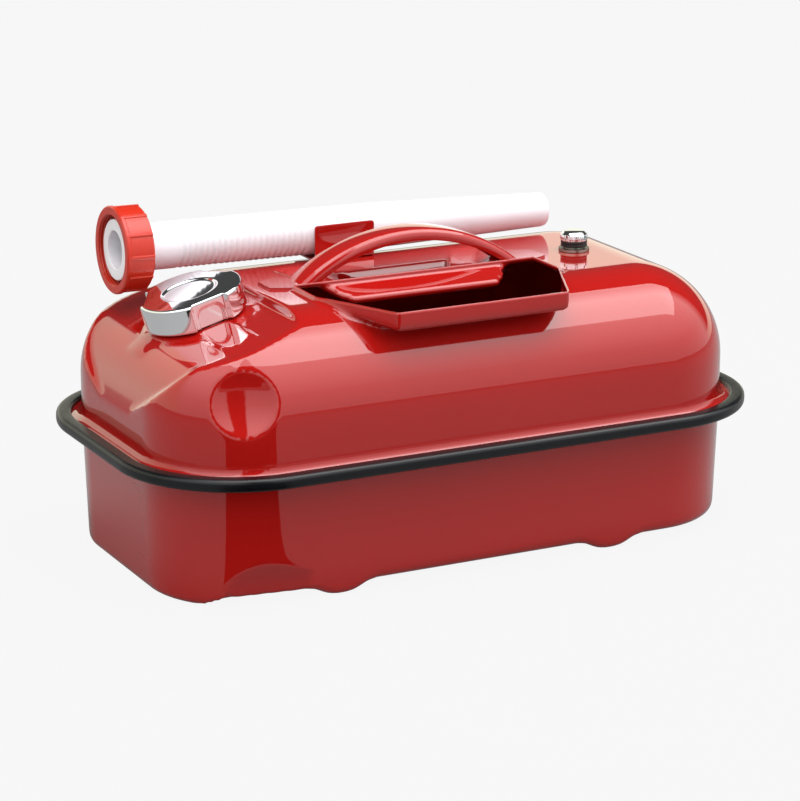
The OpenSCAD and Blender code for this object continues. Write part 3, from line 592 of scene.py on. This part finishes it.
facet = block("facet", [(x, -WIDE, z) for x, z in outline], (0, 2 * WIDE, 0))
for side in (-1, 1):
    bpy.ops.mesh.select_all(action="SELECT")
    bpy.ops.mesh.bisect(plane_co=Vector((-BODY_L / 2, side * END_FOOT, END_Z)) * MM,
                        plane_no=(SIDE_NORMAL[0], side * SIDE_NORMAL[1], SIDE_NORMAL[2]),
                        use_fill=True, clear_inner=True)
cut(top, above, facet)
print("after the filler cuts:", len(top.data.polygons))

# %% The finger recess and its bays
RECESS_D, RECESS_X, RECESS_RUN = 8.8, 64, 15
RECESS_BACK, RECESS_LEAN, RECESS_FRONT = 14, 12.5, -205
BAY_X, BAY_RUN, MOUTH_IN = 81, 24, 10
BAY_NEAR, BAY_SHELF, BAY_MOUTH = -15, -47, -102.5
WELL_SOFT, BAY_SOFT = 5, 4
POCKET_D = RECESS_D - 0.8
POCKET_LOW = [(27.7, 0), (48, 0), (48, 3.2), (29.8, 3.2)]
POCKET_HIGH = [(27.7, 0), (63.2, 0), (71, 38), (53, 38)]
TOOL_RISE = 40


def pressed(name, low, deep, high, soft=0):
    """A tool that widens upwards from a low outline at its depth to one level with the top.

    Its sides come out twisted, and a convex hull makes them flat.
    """
    piece = block(name, [(x, y, TOP_Z - deep) for x, y in low], (0, 0, deep))
    ends = [Vector((x, y, TOP_Z)) * MM for x, y in low]
    for here, (x, y) in zip(ends, high):
        pick("verts", lambda v: (v.co - here).length < 0.01 * MM)
        bpy.ops.transform.translate(value=Vector((x, y, TOP_Z)) * MM - here)
    pick("faces", lambda f: all(abs(v.co.z - TOP_Z * MM) < 0.01 * MM for v in f.verts))
    bpy.ops.mesh.extrude_region_move(TRANSFORM_OT_translate={"value": (0, 0, TOOL_RISE * MM)})
    bpy.ops.mesh.select_all(action="SELECT")
    bpy.ops.mesh.normals_make_consistent(inside=False)
    if soft:
        pick("edges", level(TOP_Z - deep))
        bpy.ops.mesh.bevel(offset=soft * MM, segments=5, affect="EDGES", clamp_overlap=False)
        bpy.ops.mesh.select_all(action="SELECT")
    bpy.ops.mesh.convex_hull()
    return piece


low_x, low_back = RECESS_X - RECESS_RUN, RECESS_BACK - RECESS_LEAN
well = pressed("well", [(-low_x, low_back), (low_x, low_back), (low_x, RECESS_FRONT), (-low_x, RECESS_FRONT)],
               RECESS_D, [(-RECESS_X, RECESS_BACK), (RECESS_X, RECESS_BACK), (RECESS_X, RECESS_FRONT),
                          (-RECESS_X, RECESS_FRONT)], WELL_SOFT)
low_x, low_near = BAY_X - RECESS_RUN, BAY_NEAR - BAY_RUN
mouth_x = low_x - MOUTH_IN
bays = pressed("bays", [(-low_x, low_near), (low_x, low_near), (low_x, BAY_SHELF), (mouth_x, BAY_MOUTH),
                        (-mouth_x, BAY_MOUTH), (-low_x, BAY_SHELF)],
               RECESS_D, [(-BAY_X, BAY_NEAR), (BAY_X, BAY_NEAR), (BAY_X, BAY_SHELF), (mouth_x, BAY_MOUTH),
                          (-mouth_x, BAY_MOUTH), (-BAY_X, BAY_SHELF)], BAY_SOFT)
pockets = [pressed("pocket", [(side * x, y) for x, y in POCKET_LOW], POCKET_D,
                   [(side * x, y) for x, y in POCKET_HIGH]) for side in (-1, 1)]
# A known fault: in some runs the exact solver leaves the tool of the bays standing here, as a low fence.
# The Manifold solver doesn't.
cut(top, *pockets, well, bays)
highest = max(v.co.z for v in top.data.vertices) / MM
print("after the recess:", len(top.data.polygons), "highest:", round(highest, 1))

# %% Shoulder dimples
DIMPLE_X, DIMPLE_Z, DIMPLE_R, DIMPLE_D = 150, 43, 50, 7.2
turn = math.asin((DIMPLE_X - (BODY_L / 2 - CORNER_R)) / CORNER_R)
rise = math.asin((DIMPLE_Z - (TOP_Z - SEAM_Z - SHOULDER_R)) / SHOULDER_R)
for side in (-1, 1):
    flat_way = Vector((-math.sin(turn), side * math.cos(turn), 0))
    out_way = flat_way * math.cos(rise) + Vector((0, 0, math.sin(rise)))
    hub = Vector((CORNER_R - BODY_L / 2, side * (BODY_W / 2 - CORNER_R), TOP_Z - SHOULDER_R))
    ball_at = hub + (CORNER_R - SHOULDER_R) * flat_way + (SHOULDER_R + DIMPLE_R - DIMPLE_D) * out_way
    deselect()
    bpy.ops.mesh.primitive_uv_sphere_add(segments=128, ring_count=64, radius=DIMPLE_R * MM,
                                         location=ball_at * MM)
    ball = bpy.context.object
    bpy.ops.object.transform_apply(location=True)
    cut(top, ball)
print("after the dimples:", len(top.data.polygons))

# %% Vent seat, neck pad and drain ramp
VENT_X, SEAT_Z, SEAT_R, SEAT_SINK = 118.5, 163.9, 16, 6
NECK_X = 136
PAD_R, PAD_FOOT_R, PAD_H, PAD_SINK = 28, 43, 2, 4
RAMP_W, RAMP_REACH = 21, BODY_W / 2 - SHOULDER_R * 0.45
NECK = (-NECK_X, 0, slope_z(NECK_X))
seat_h = SEAT_Z - TOP_Z
seat = put(turned("seat", [(0, -SEAT_SINK), (SEAT_R + 1.5, -SEAT_SINK), (SEAT_R + 1, 0), (SEAT_R, seat_h),
                           (0, seat_h)]), (VENT_X, 0, TOP_Z))
pad = put(turned("pad", [(0, -PAD_SINK), (PAD_FOOT_R, -PAD_SINK), (PAD_R, PAD_H), (0, PAD_H)]),
          NECK, (0, -SLOPE, 0))
ramp_line = [(0, PAD_H), (-PAD_R, PAD_H), (-RAMP_REACH, 0), (-RAMP_REACH, -PAD_SINK), (0, -PAD_SINK)]
ramp = put(block("ramp", [(-RAMP_W / 2, y, z) for y, z in ramp_line], (RAMP_W, 0, 0)), NECK, (0, -SLOPE, 0))
cut(top, seat, pad, ramp, how="UNION")
print("after the pressed forms:", len(top.data.polygons))

# %% Skin, soften and hollow the shell
SKIN, SOFTEN, INNER_SHARE = 1.5, 6, 0.15
OVER_SEAT = 1.5
NECK_HOLE_R, VENT_HOLE_R, HOLES_ABOVE = 20, 5, 120


def skin_shell(piece, keep_above):
    """Even grid, soft creases, nothing much higher than the vent's seat, and open at the seam."""
    modify(piece, "REMESH", mode="VOXEL", voxel_size=SKIN * MM, use_smooth_shade=True)
    modify(piece, "SMOOTH", factor=0.5, iterations=SOFTEN)
    edit(piece)
    pick("verts", lambda v: v.co.z > (SEAT_Z + OVER_SEAT) * MM)
    bpy.ops.mesh.delete(type="VERT")
    bpy.ops.mesh.select_all(action="SELECT")
    bpy.ops.mesh.bisect(plane_co=(0, 0, SEAM_Z * MM), plane_no=(0, 0, 1 if keep_above else -1),
                        clear_inner=True)
    deselect()


def hollow(piece):
    """Thickness of the sheet inwards. The inner wall, which nobody sees, is then thinned to fewer faces."""
    faces = len(piece.data.polygons)
    modify(piece, "SOLIDIFY", thickness=SHEET * MM, offset=-1)
    edit(piece)
    pick("faces", lambda f: faces <= f.index < 2 * faces)
    bpy.ops.mesh.decimate(ratio=INNER_SHARE)
    deselect()


skin_shell(top, True)
neck_at, neck_axis = Vector(NECK) * MM, Vector((-sin(SLOPE), 0, cos(SLOPE)))
edit(top)
pick("faces", lambda f: (f.calc_center_median() - neck_at).cross(neck_axis).length < NECK_HOLE_R * MM
     and f.calc_center_median().z > HOLES_ABOVE * MM)
bpy.ops.mesh.delete(type="FACE")
pick("faces", lambda f: (f.calc_center_median().xy - Vector((VENT_X, 0)) * MM).length < VENT_HOLE_R * MM
     and f.calc_center_median().z > HOLES_ABOVE * MM)
bpy.ops.mesh.delete(type="FACE")
hollow(top)
finish_piece(top, "pressed_top", enamel, "can", "red_enamel", "upper_shell")

# %% [markdown]
# ## Lower shell
# The tray leans in a little towards its floor so that it leaves the press. Two cross ribs carry it,
# the filler end has a low heel, and a hollow beside the rib gives fingers a hold when the can is tipped.
# Heel, floor and ribs could be welded by booleans, but they only overlap, and the grid melts them into one.

# %% The tray
DRAFT, FLOOR_Z, TRAY_FILLET = 2.5, 5.5, 5
FOOT_X = 90
HEEL_FILLET, HEEL_TOP = 4, 60
HEEL_CUT = [(-178, -3), (-150, 11), (-80, 11), (-80, -3)]
HEEL_CUT_Y, HEEL_CUT_W = 76, 60


def tray_block(name, floor_z, fillet):
    """Flange plate, leaning wall and floor, with a rounded lower edge."""
    piece = rounded_block(name, BODY_L + 2 * FLANGE_W, BODY_W + 2 * FLANGE_W, CORNER_R + FLANGE_W,
                          SEAM_Z - SHEET, SEAM_Z + UNDER)
    pick("faces", lambda f: f.normal.z < -0.9)
    bpy.ops.mesh.inset(thickness=FLANGE_W * MM)
    drop = (floor_z - SEAM_Z + SHEET) * MM
    bpy.ops.mesh.extrude_region_move(TRANSFORM_OT_translate={"value": (0, 0, drop)})
    bpy.ops.mesh.inset(thickness=DRAFT * MM)
    pick("edges", lambda e: level(floor_z)(e) and any(abs(f.normal.z) < 0.5 for f in e.link_faces))
    bpy.ops.mesh.dissolve_edges(use_verts=True)
    pick("edges", level(floor_z))
    bpy.ops.mesh.bevel(offset=fillet * MM, segments=8, affect="EDGES", clamp_overlap=False)
    deselect()
    return piece


tray = tray_block("tray", FLOOR_Z, TRAY_FILLET)
heel = tray_block("heel", 0, HEEL_FILLET)
edit(heel)
bpy.ops.mesh.bisect(plane_co=(-FOOT_X * MM, 0, 0), plane_no=(-1, 0, 0), use_fill=True, clear_inner=True)
bpy.ops.mesh.select_all(action="SELECT")
bpy.ops.mesh.bisect(plane_co=(0, 0, HEEL_TOP * MM), plane_no=(0, 0, -1), use_fill=True, clear_inner=True)
for side in (-1, 1):
    cut(heel, block("gap", [(x, side * HEEL_CUT_Y, z) for x, z in HEEL_CUT], (0, side * HEEL_CUT_W, 0)))
print("tray faces:", len(tray.data.polygons))

# %% Ribs
FOOT_R, FOOT_FILLET, FOOT_FLAT, RIB_END = 28, 16, 7, 3.5
RIB_TOP, RIB_REACH = 30, 120
sunk = FOOT_R - math.sqrt(FOOT_R ** 2 - FOOT_FLAT ** 2 / 4)
mid_z, hollow_z = FOOT_R - sunk, FLOOR_Z - FOOT_FILLET
run = math.sqrt((FOOT_R + FOOT_FILLET) ** 2 - (mid_z - hollow_z) ** 2)
lean = math.degrees(math.atan2(mid_z - hollow_z, run))
half = [p for p in arc((0, mid_z), FOOT_R, 270, 360 - lean, 12) if p[1] > 0] + arc(
    (run, hollow_z), FOOT_FILLET, 180 - lean, 90, 8)[1:]
half = [(FOOT_FLAT / 2, 0)] + half + [(run, RIB_TOP)]
rib_line = half + [(-x, z) for x, z in reversed(half)]
ribs = []
for at in (-FOOT_X, FOOT_X):
    rib = block("rib", [(at + x, -RIB_REACH, z) for x, z in rib_line], (0, 2 * RIB_REACH, 0))
    for side in (-1, 1):
        bpy.ops.mesh.select_all(action="SELECT")
        bpy.ops.mesh.bisect(plane_co=(0, side * BODY_W / 2 * MM, SEAM_Z * MM),
                            plane_no=Vector((0, side, -DRAFT / (SEAM_Z - FLOOR_Z))).normalized(),
                            use_fill=True, clear_outer=True)
    pick("edges", lambda e: sorted(abs(f.normal.y) > 0.8 for f in e.link_faces) == [False, True])
    bpy.ops.mesh.bevel(offset=RIB_END * MM, segments=5, affect="EDGES", clamp_overlap=False)
    ribs.append(rib)
    deselect()
    print("rib box:", [round(v / MM, 1) for v in rib.dimensions], "faces:", len(rib.data.polygons))
# %% Finger scoops
SCOOP_X, SCOOP_Y, SCOOP_Z, SCOOP_TURN = 134, 139.7, 2.3, 8
SCOOP_R, SCOOP_LIP, SCOOP_END, SCOOP_START = 45, 16, 20, -70
for side in (-1, 1):
    for piece in (tray, heel):
        barrel = turned("barrel", [(0, SCOOP_START), (SCOOP_R, SCOOP_START)]
                        + arc((SCOOP_R - SCOOP_LIP, SCOOP_END), SCOOP_LIP, 0, 80, 8)
                        + [(0, SCOOP_END + SCOOP_LIP)])
        cut(piece, put(barrel, (-SCOOP_X, side * SCOOP_Y, SCOOP_Z), (0, 90, side * SCOOP_TURN)))
join(tray, heel, *ribs)
skin_shell(tray, False)
hollow(tray)
finish_piece(tray, "pressed_tray", enamel, "can", "red_enamel", "lower_shell")

# %% [markdown]
# ## Rubber edging
# A U-shaped rubber strip is pushed over the welded flange all round. One quarter is enough:
# its section is spun round a corner, extruded along both straight sides and mirrored twice.

# %% Edging
TRIM_WALL, TRIM_W, TRIM_H, TRIM_ROUND = 3, 9, 7.6, 0.36
lip = CORNER_R + FLANGE_W + TRIM_WALL - TRIM_W
rim = TRIM_H * TRIM_ROUND
section = arc((lip + TRIM_W - rim, SEAM_Z - TRIM_H / 2 + rim), rim, 270, 360, 8)
section += arc((lip + TRIM_W - rim, SEAM_Z + TRIM_H / 2 - rim), rim, 0, 90, 8)
section += arc((lip + rim / 2, SEAM_Z + TRIM_H / 2 - rim / 2), rim / 2, 90, 180, 6)
section += [(lip, SEAM_Z + SHEET), (lip + TRIM_W - TRIM_WALL, SEAM_Z + SHEET),
            (lip + TRIM_W - TRIM_WALL, SEAM_Z - SHEET), (lip, SEAM_Z - SHEET)]
section += arc((lip + rim / 2, SEAM_Z - TRIM_H / 2 + rim / 2), rim / 2, 180, 270, 6)
cx, cy = BODY_L / 2 - CORNER_R, BODY_W / 2 - CORNER_R
trim = draw_line("trim", [(cx + r, 0, z) for r, z in section], closed=True)
bpy.ops.mesh.extrude_edges_move(TRANSFORM_OT_translate={"value": (0, cy * MM, 0)})
bpy.ops.mesh.spin(steps=32, angle=-math.pi / 2, center=(cx * MM, cy * MM, 0), axis=(0, 0, 1))
bpy.ops.mesh.extrude_edges_move(TRANSFORM_OT_translate={"value": (-cx * MM, 0, 0)})
deselect()
print("trim quarter box:", [round(v / MM, 1) for v in trim.dimensions])
modify(trim, "MIRROR", use_axis=(True, True, False), merge_threshold=0.01 * MM)
edit(trim)
bpy.ops.mesh.remove_doubles(threshold=0.01 * MM)
bpy.ops.mesh.normals_make_consistent(inside=False)
finish_piece(trim, "rubber_edging", edging, "can", "black_rubber", "seam_trim", angle=40)

# %% [markdown]
# ## Handle
# A strip of steel folded to a channel, bent to an arch and welded on with two flat tabs.
# A curve with a section would give the same arch, but a spin about its middle keeps the section exact.
# The spun channel is then trimmed level with the top.

# %% Handle
ARCH_R, ARCH_RISE, ARCH_FOOT, ARCH_HALF = 118.05, 27.3, 75.5, 44
HANDLE_W, HANDLE_D, HANDLE_SHEET, HANDLE_EDGE = 22, 7, 1.4, 5
TAB_X, TAB_T, TAB_SINK = 93, 1.4, 0.3
TAB_NECK_Y, TAB_WING_Y, TAB_END_Y = 10.3, 14.5, 8.5
arch_z, low_r, edge_r = TOP_Z + ARCH_RISE - ARCH_R, ARCH_R - HANDLE_D, ARCH_R - HANDLE_EDGE
half_w, edge_y = HANDLE_W / 2, HANDLE_W / 2 - HANDLE_EDGE
inner_edge = HANDLE_EDGE - HANDLE_SHEET
section = [(low_r, -half_w)] + arc((edge_r, -edge_y), HANDLE_EDGE, 270, 355, 8)
section += arc((edge_r, edge_y), HANDLE_EDGE, 5, 90, 8) + [(low_r, half_w)]
section += [(low_r, half_w - HANDLE_SHEET)] + arc((edge_r, edge_y), inner_edge, 90, 5, 6)
section += arc((edge_r, -edge_y), inner_edge, 355, 270, 6) + [(low_r, HANDLE_SHEET - half_w)]
handle = draw_line("handle", [(r * sin(-ARCH_HALF), y, arch_z + r * cos(ARCH_HALF)) for r, y in section],
                   closed=True)
bpy.ops.mesh.edge_face_add()
bpy.ops.mesh.spin(steps=96, angle=-math.radians(2 * ARCH_HALF), center=(0, 0, arch_z * MM), axis=(0, 1, 0))
bpy.ops.mesh.select_all(action="SELECT")
bpy.ops.mesh.remove_doubles(threshold=0.005 * MM)
bpy.ops.mesh.normals_make_consistent(inside=False)
bpy.ops.mesh.bisect(plane_co=(0, 0, TOP_Z * MM), plane_no=(0, 0, 1), use_fill=True, clear_inner=True)
for side in (-1, 1):
    plan = [(ARCH_FOOT - 6, -TAB_NECK_Y), (ARCH_FOOT + 0.5, -TAB_NECK_Y), (ARCH_FOOT + 4, -TAB_WING_Y),
            (TAB_X, -TAB_END_Y)]
    plan += [(x, -y) for x, y in reversed(plan)]
    tab = block("tab", [(side * x, y, TOP_Z - TAB_SINK) for x, y in plan], (0, 0, TAB_T + TAB_SINK))
    cut(handle, tab, how="UNION")
print("handle faces:", len(handle.data.polygons))
finish_piece(handle, "bent_handle", enamel, "can", "red_enamel", "handle", angle=35)

# %% [markdown]
# ## Filler cap
# A chromed cap with three wide lobes to grip. Between them are three shallow hollows, each with a sunk panel
# that ends in an arch, and the top has a round dish. It is cut from a turned block, then skinned finely.

# %% Filler cap
CAP_Z, CAP_R, CAP_H, CAP_EDGE = 2.9, 31, 16, 1.6
LOBES, LOBE_SHIFT = 3, 0.25
HOLLOW, HOLLOW_W, HOLLOW_FLARE, PAST_CAP = 4.6, 20, 6, 3
DISH_R, DISH_D = 15.5, 1.1
CAP_BORE_R, CAP_BORE_TOP = 24.2, 13.9
PANEL_IN, PANEL_W, PANEL_TOP, PANEL_R, PANEL_CUT = 1.2, 16, 12, 5, 20
TOOL_LOW = -2
CAP_SKIN, CAP_SOFTEN = 0.45, 6
cap = turned("cap", [(0, 0), (CAP_R - 0.4, 0), (CAP_R, 0.5)]
             + arc((CAP_R - CAP_EDGE, CAP_H - CAP_EDGE), CAP_EDGE, 0, 90, 6)
             + [(DISH_R + 1.2, CAP_H), (DISH_R, CAP_H - DISH_D), (0, CAP_H - DISH_D)], 192)
for k in range(LOBES):
    a = (k + LOBE_SHIFT) * 360 / LOBES
    half_w = HOLLOW_W / 2
    flare_w = half_w + HOLLOW_FLARE
    flat_line = [(CAP_R - HOLLOW, -half_w), (CAP_R - HOLLOW, half_w),
                 (CAP_R + PAST_CAP, flare_w), (CAP_R + PAST_CAP, -flare_w)]
    flat = block("flat", [(x, y, TOOL_LOW) for x, y in flat_line], (0, 0, CAP_H - 2 * TOOL_LOW))
    arch = arc((PANEL_W / 2 - PANEL_R, PANEL_TOP - PANEL_R), PANEL_R, 0, 90, 6)
    arch += arc((PANEL_R - PANEL_W / 2, PANEL_TOP - PANEL_R), PANEL_R, 90, 180, 6)
    panel_line = [(-PANEL_W / 2, TOOL_LOW), (PANEL_W / 2, TOOL_LOW)] + arch
    arched = block("arched", [(CAP_R - HOLLOW - PANEL_IN, y, z) for y, z in panel_line], (PANEL_CUT, 0, 0))
    cut(cap, put(flat, (0, 0, 0), (0, 0, a)), put(arched, (0, 0, 0), (0, 0, a)))
cut(cap, turned("bore", [(0, -1), (CAP_BORE_R, -1), (CAP_BORE_R, CAP_BORE_TOP), (0, CAP_BORE_TOP)]))
modify(cap, "REMESH", mode="VOXEL", voxel_size=CAP_SKIN * MM, use_smooth_shade=True)
modify(cap, "SMOOTH", factor=0.5, iterations=CAP_SOFTEN)
put(cap, NECK, (0, -SLOPE, 0))
put(cap, (CAP_Z * neck_axis.x, 0, CAP_Z * neck_axis.z))
finish_piece(cap, "lobed_cap", chrome, "cap", "chrome_plate", "cap_shell")

# %% [markdown]
# ## Vent screw
# A small chromed screw with a knurled edge and a nearly flat top sits on a rubber ring.
# Its knurl could be cut tooth by tooth. It is quicker to draw in two of every four columns of the turned rim.

# %% Vent screw and its ring
VENT_R, VENT_H, SEAL_H, SHANK_R, SHANK_L = 8.6, 5.6, 4, 3, 19
KNURLS, KNURL_SCALE = 36, 0.945
head_line = [(0, -SHANK_L), (SHANK_R - 0.4, -SHANK_L), (SHANK_R, -SHANK_L + 0.5), (SHANK_R, 0)]
head_line += [(VENT_R - 0.5, 0), (VENT_R, 0.4), (VENT_R, 3.4), (VENT_R - 0.5, 3.9), (VENT_R - 0.9, 4.1)]
head_line += [(VENT_R - 1.6, 4.9), (VENT_R - 2.2, 5.4), (VENT_R - 2.6, 5.55), (0, VENT_H)]
head = turned("head", head_line, 4 * KNURLS)
pick("verts", lambda v: v.co.xy.length > (VENT_R - 0.1) * MM
     and round(math.degrees(math.atan2(v.co.y, v.co.x)) * 4 * KNURLS / 360) % 4 in (0, 1))
bpy.ops.transform.resize(value=(KNURL_SCALE, KNURL_SCALE, 1), center_override=(0, 0, 0))
put(head, (VENT_X, 0, SEAT_Z + SEAL_H))
finish_piece(head, "knurled_vent_screw", chrome, "vent_knob", "chrome_plate", "vent_screw", angle=30)
ring_line = [(SHANK_R + 0.3, 0), (VENT_R - 1, 0), (VENT_R - 0.4, 0.5), (VENT_R - 0.4, 1.6)]
ring_line += [(VENT_R - 0.8, 1.9), (VENT_R - 0.8, 2.2), (VENT_R - 0.4, 2.5)]
ring_line += [(VENT_R - 0.4, SEAL_H - 0.5), (VENT_R - 0.9, SEAL_H)]
ring = turned("ring", ring_line + [(SHANK_R + 0.3, SEAL_H)], 72, closed=True)
put(ring, (VENT_X, 0, SEAT_Z))
finish_piece(ring, "vent_ring_seal", seal, "vent_ring", "seal_rubber", "vent_seal", angle=30)

# %% [markdown]
# ## Spout
# A blow-moulded tube with bellows near its nut, so that it bends when it pours, and a tapered end.
# The whole wall is one closed line spun round the tube's axis. Its collar and washer sit in the union nut.

# %% Spout tube and washer
SPOUT_Y = 58
SPOUT_AT, SPOUT_TURN = (-166, SPOUT_Y, 179.078), (0, 90.85, 0)
TUBE_R, OUTLET_R, BORE_R, TUBE_WALL = 14.2, 10.8, 11.5, 1.6
TAPER_AT, SPOUT_L = 172, 294
BELLOWS_AT, BELLOWS_L, RIBS, RIB_D, WAVE, CREST = 39, 85, 22, 0.7, 10, 1.3
COLLAR_R, COLLAR_LOW, COLLAR_HIGH, WASHER_LOW = 18.4, 9.7, 12.7, 2.2


def bellows(drawn_in):
    """Rounded ribs along the tube, as a wave with flat crests."""
    count = RIBS * WAVE
    return [(TUBE_R - drawn_in - RIB_D * (0.5 - 0.5 * math.cos(2 * math.pi * i / WAVE)) ** CREST,
             BELLOWS_AT + BELLOWS_L * i / count) for i in range(count + 1)]


wall = [(BORE_R, COLLAR_LOW), (COLLAR_R - 0.4, COLLAR_LOW), (COLLAR_R, COLLAR_LOW + 0.4),
        (COLLAR_R, COLLAR_HIGH - 0.4), (COLLAR_R - 0.4, COLLAR_HIGH), (TUBE_R + 0.8, COLLAR_HIGH),
        (TUBE_R, COLLAR_HIGH + 0.8)]
wall += bellows(0) + [(TUBE_R, TAPER_AT), (OUTLET_R, SPOUT_L - 2), (OUTLET_R - 0.5, SPOUT_L),
                      (OUTLET_R - TUBE_WALL, SPOUT_L), (TUBE_R - TUBE_WALL, TAPER_AT)]
wall += list(reversed(bellows(TUBE_WALL))) + [(BORE_R, BELLOWS_AT - 2)]
tube = put(turned("tube", wall, 96, closed=True), SPOUT_AT, SPOUT_TURN)
finish_piece(tube, "bellows_spout", milky, "spout", "natural_polyethylene", "spout_tube", angle=40)
washer_line = [(BORE_R, WASHER_LOW + 0.4), (BORE_R + 0.4, WASHER_LOW), (COLLAR_R - 0.5, WASHER_LOW),
               (COLLAR_R, WASHER_LOW + 0.5), (COLLAR_R, COLLAR_LOW - 0.3),
               (COLLAR_R - 0.3, COLLAR_LOW), (BORE_R, COLLAR_LOW)]
washer = turned("washer", washer_line, 96, closed=True)
put(washer, SPOUT_AT, SPOUT_TURN)
finish_piece(washer, "spout_washer", milky, "spout", "natural_polyethylene", "spout_gasket", angle=30)

# %% Union nut
NUT_R, NUT_L, NUT_BORE, TUBE_GAP = 26.5, 18, 21.3, 0.3
GRIPS, GRIP_H, GRIP_W, GRIP_LOW, GRIP_L = 12, 0.7, 2.4, 1, NUT_L - 1.6
SHOULDER_AT, RELIEF_AT, RELIEF_D = 13, 7.8, 0.4
THREADS, THREAD_TOP, THREAD_PITCH, THREAD_D = 4, 7.4, 1.9, 0.45
root = NUT_R - GRIP_H
nut_line = [(TUBE_R + TUBE_GAP, NUT_L), (TUBE_R + TUBE_GAP, SHOULDER_AT), (NUT_BORE + RELIEF_D, SHOULDER_AT),
            (NUT_BORE + RELIEF_D, RELIEF_AT), (NUT_BORE, RELIEF_AT)]
for k in range(THREADS):
    z = THREAD_TOP - THREAD_PITCH * k
    nut_line += [(NUT_BORE, z), (NUT_BORE + THREAD_D, z - 0.5), (NUT_BORE + THREAD_D, z - 0.9),
                 (NUT_BORE, z - 1.4)]
nut_line += [(NUT_BORE, 0.5), (NUT_BORE + 0.5, 0), (NUT_R - 0.8, 0), (NUT_R, 0.8), (NUT_R, 2.6), (root, 3.2),
             (root, NUT_L - 1), (root - 1, NUT_L)]
nut = turned("nut", nut_line, 144, closed=True)
grip_half = [(root - 1.5, -GRIP_W / 2), (root + 0.35, -GRIP_W / 2), (NUT_R, -GRIP_W / 4)]
grip_line = grip_half + [(x, -y) for x, y in reversed(grip_half)]
for k in range(GRIPS):
    grip = block("grip", [(x, y, GRIP_LOW) for x, y in grip_line], (0, 0, GRIP_L))
    cut(nut, put(grip, (0, 0, 0), (0, 0, k * 360 / GRIPS)), how="UNION")
put(nut, SPOUT_AT, SPOUT_TURN)
finish_piece(nut, "union_nut_ribbed", orange, "union_nut", "orange_polyethylene", "spout_nut", angle=30)

# %% [markdown]
# ## Spout clip
# A strip bent to a U, welded to the top and enamelled with it. Two springy arms hold the tube.
# It could be a bent cube, but a drawn middle line with a thickness is how a sheet is bent.

# %% Spout clip
CLIP_X, CLIP_L, CLIP_H, CLIP_IN = 19, 40, 22.6, 14.5
CLIP_SHEET, CLIP_BEND, CLIP_CORNER, CLIP_SOFT = 1, 2, 2, 0.25
arm_y, bend_z = CLIP_IN + CLIP_SHEET / 2, CLIP_BEND + CLIP_SHEET / 2
clip_line = [(-arm_y, CLIP_H), (-arm_y, bend_z)] + arc((CLIP_BEND - arm_y, bend_z), CLIP_BEND, 180, 270, 5)
clip_line += arc((arm_y - CLIP_BEND, bend_z), CLIP_BEND, 270, 360, 5) + [(arm_y, CLIP_H)]
clip = draw_line("clip", [(-CLIP_X - CLIP_L / 2, SPOUT_Y + y, TOP_Z + z) for y, z in clip_line])
bpy.ops.mesh.extrude_edges_move(TRANSFORM_OT_translate={"value": (CLIP_L * MM, 0, 0)})
bpy.ops.mesh.select_all(action="SELECT")
bpy.ops.mesh.normals_make_consistent(inside=False)
pick("verts", lambda v: v.co.z > (TOP_Z + CLIP_H - 0.1) * MM)
bpy.ops.mesh.bevel(offset=CLIP_CORNER * MM, segments=6, affect="VERTICES")
modify(clip, "SOLIDIFY", thickness=CLIP_SHEET * MM, offset=0)
modify(clip, "BEVEL", width=CLIP_SOFT * MM, segments=2, limit_method="ANGLE", angle_limit=math.radians(50))
finish_piece(clip, "bent_spout_clip", enamel, "can", "red_enamel", "spout_clip", angle=35)

# %% [markdown]
# ## Pieces kept from the construction
# The neck, the cap's sleeve, gasket and disc, and the vent's bush are plain turned steel and rubber.
# Their construction shape is already right, so they only get their finish.

# %% Finishes for the kept pieces
for node, finish in {"filler_neck": zinc, "cap_sleeve": zinc, "cap_disc": zinc, "vent_bush": zinc,
                     "cap_gasket": seal}.items():
    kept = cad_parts[node]
    kept.data.materials.clear()
    kept.data.materials.append(finish)
print("kept pieces painted")

# %% Size
deselect()
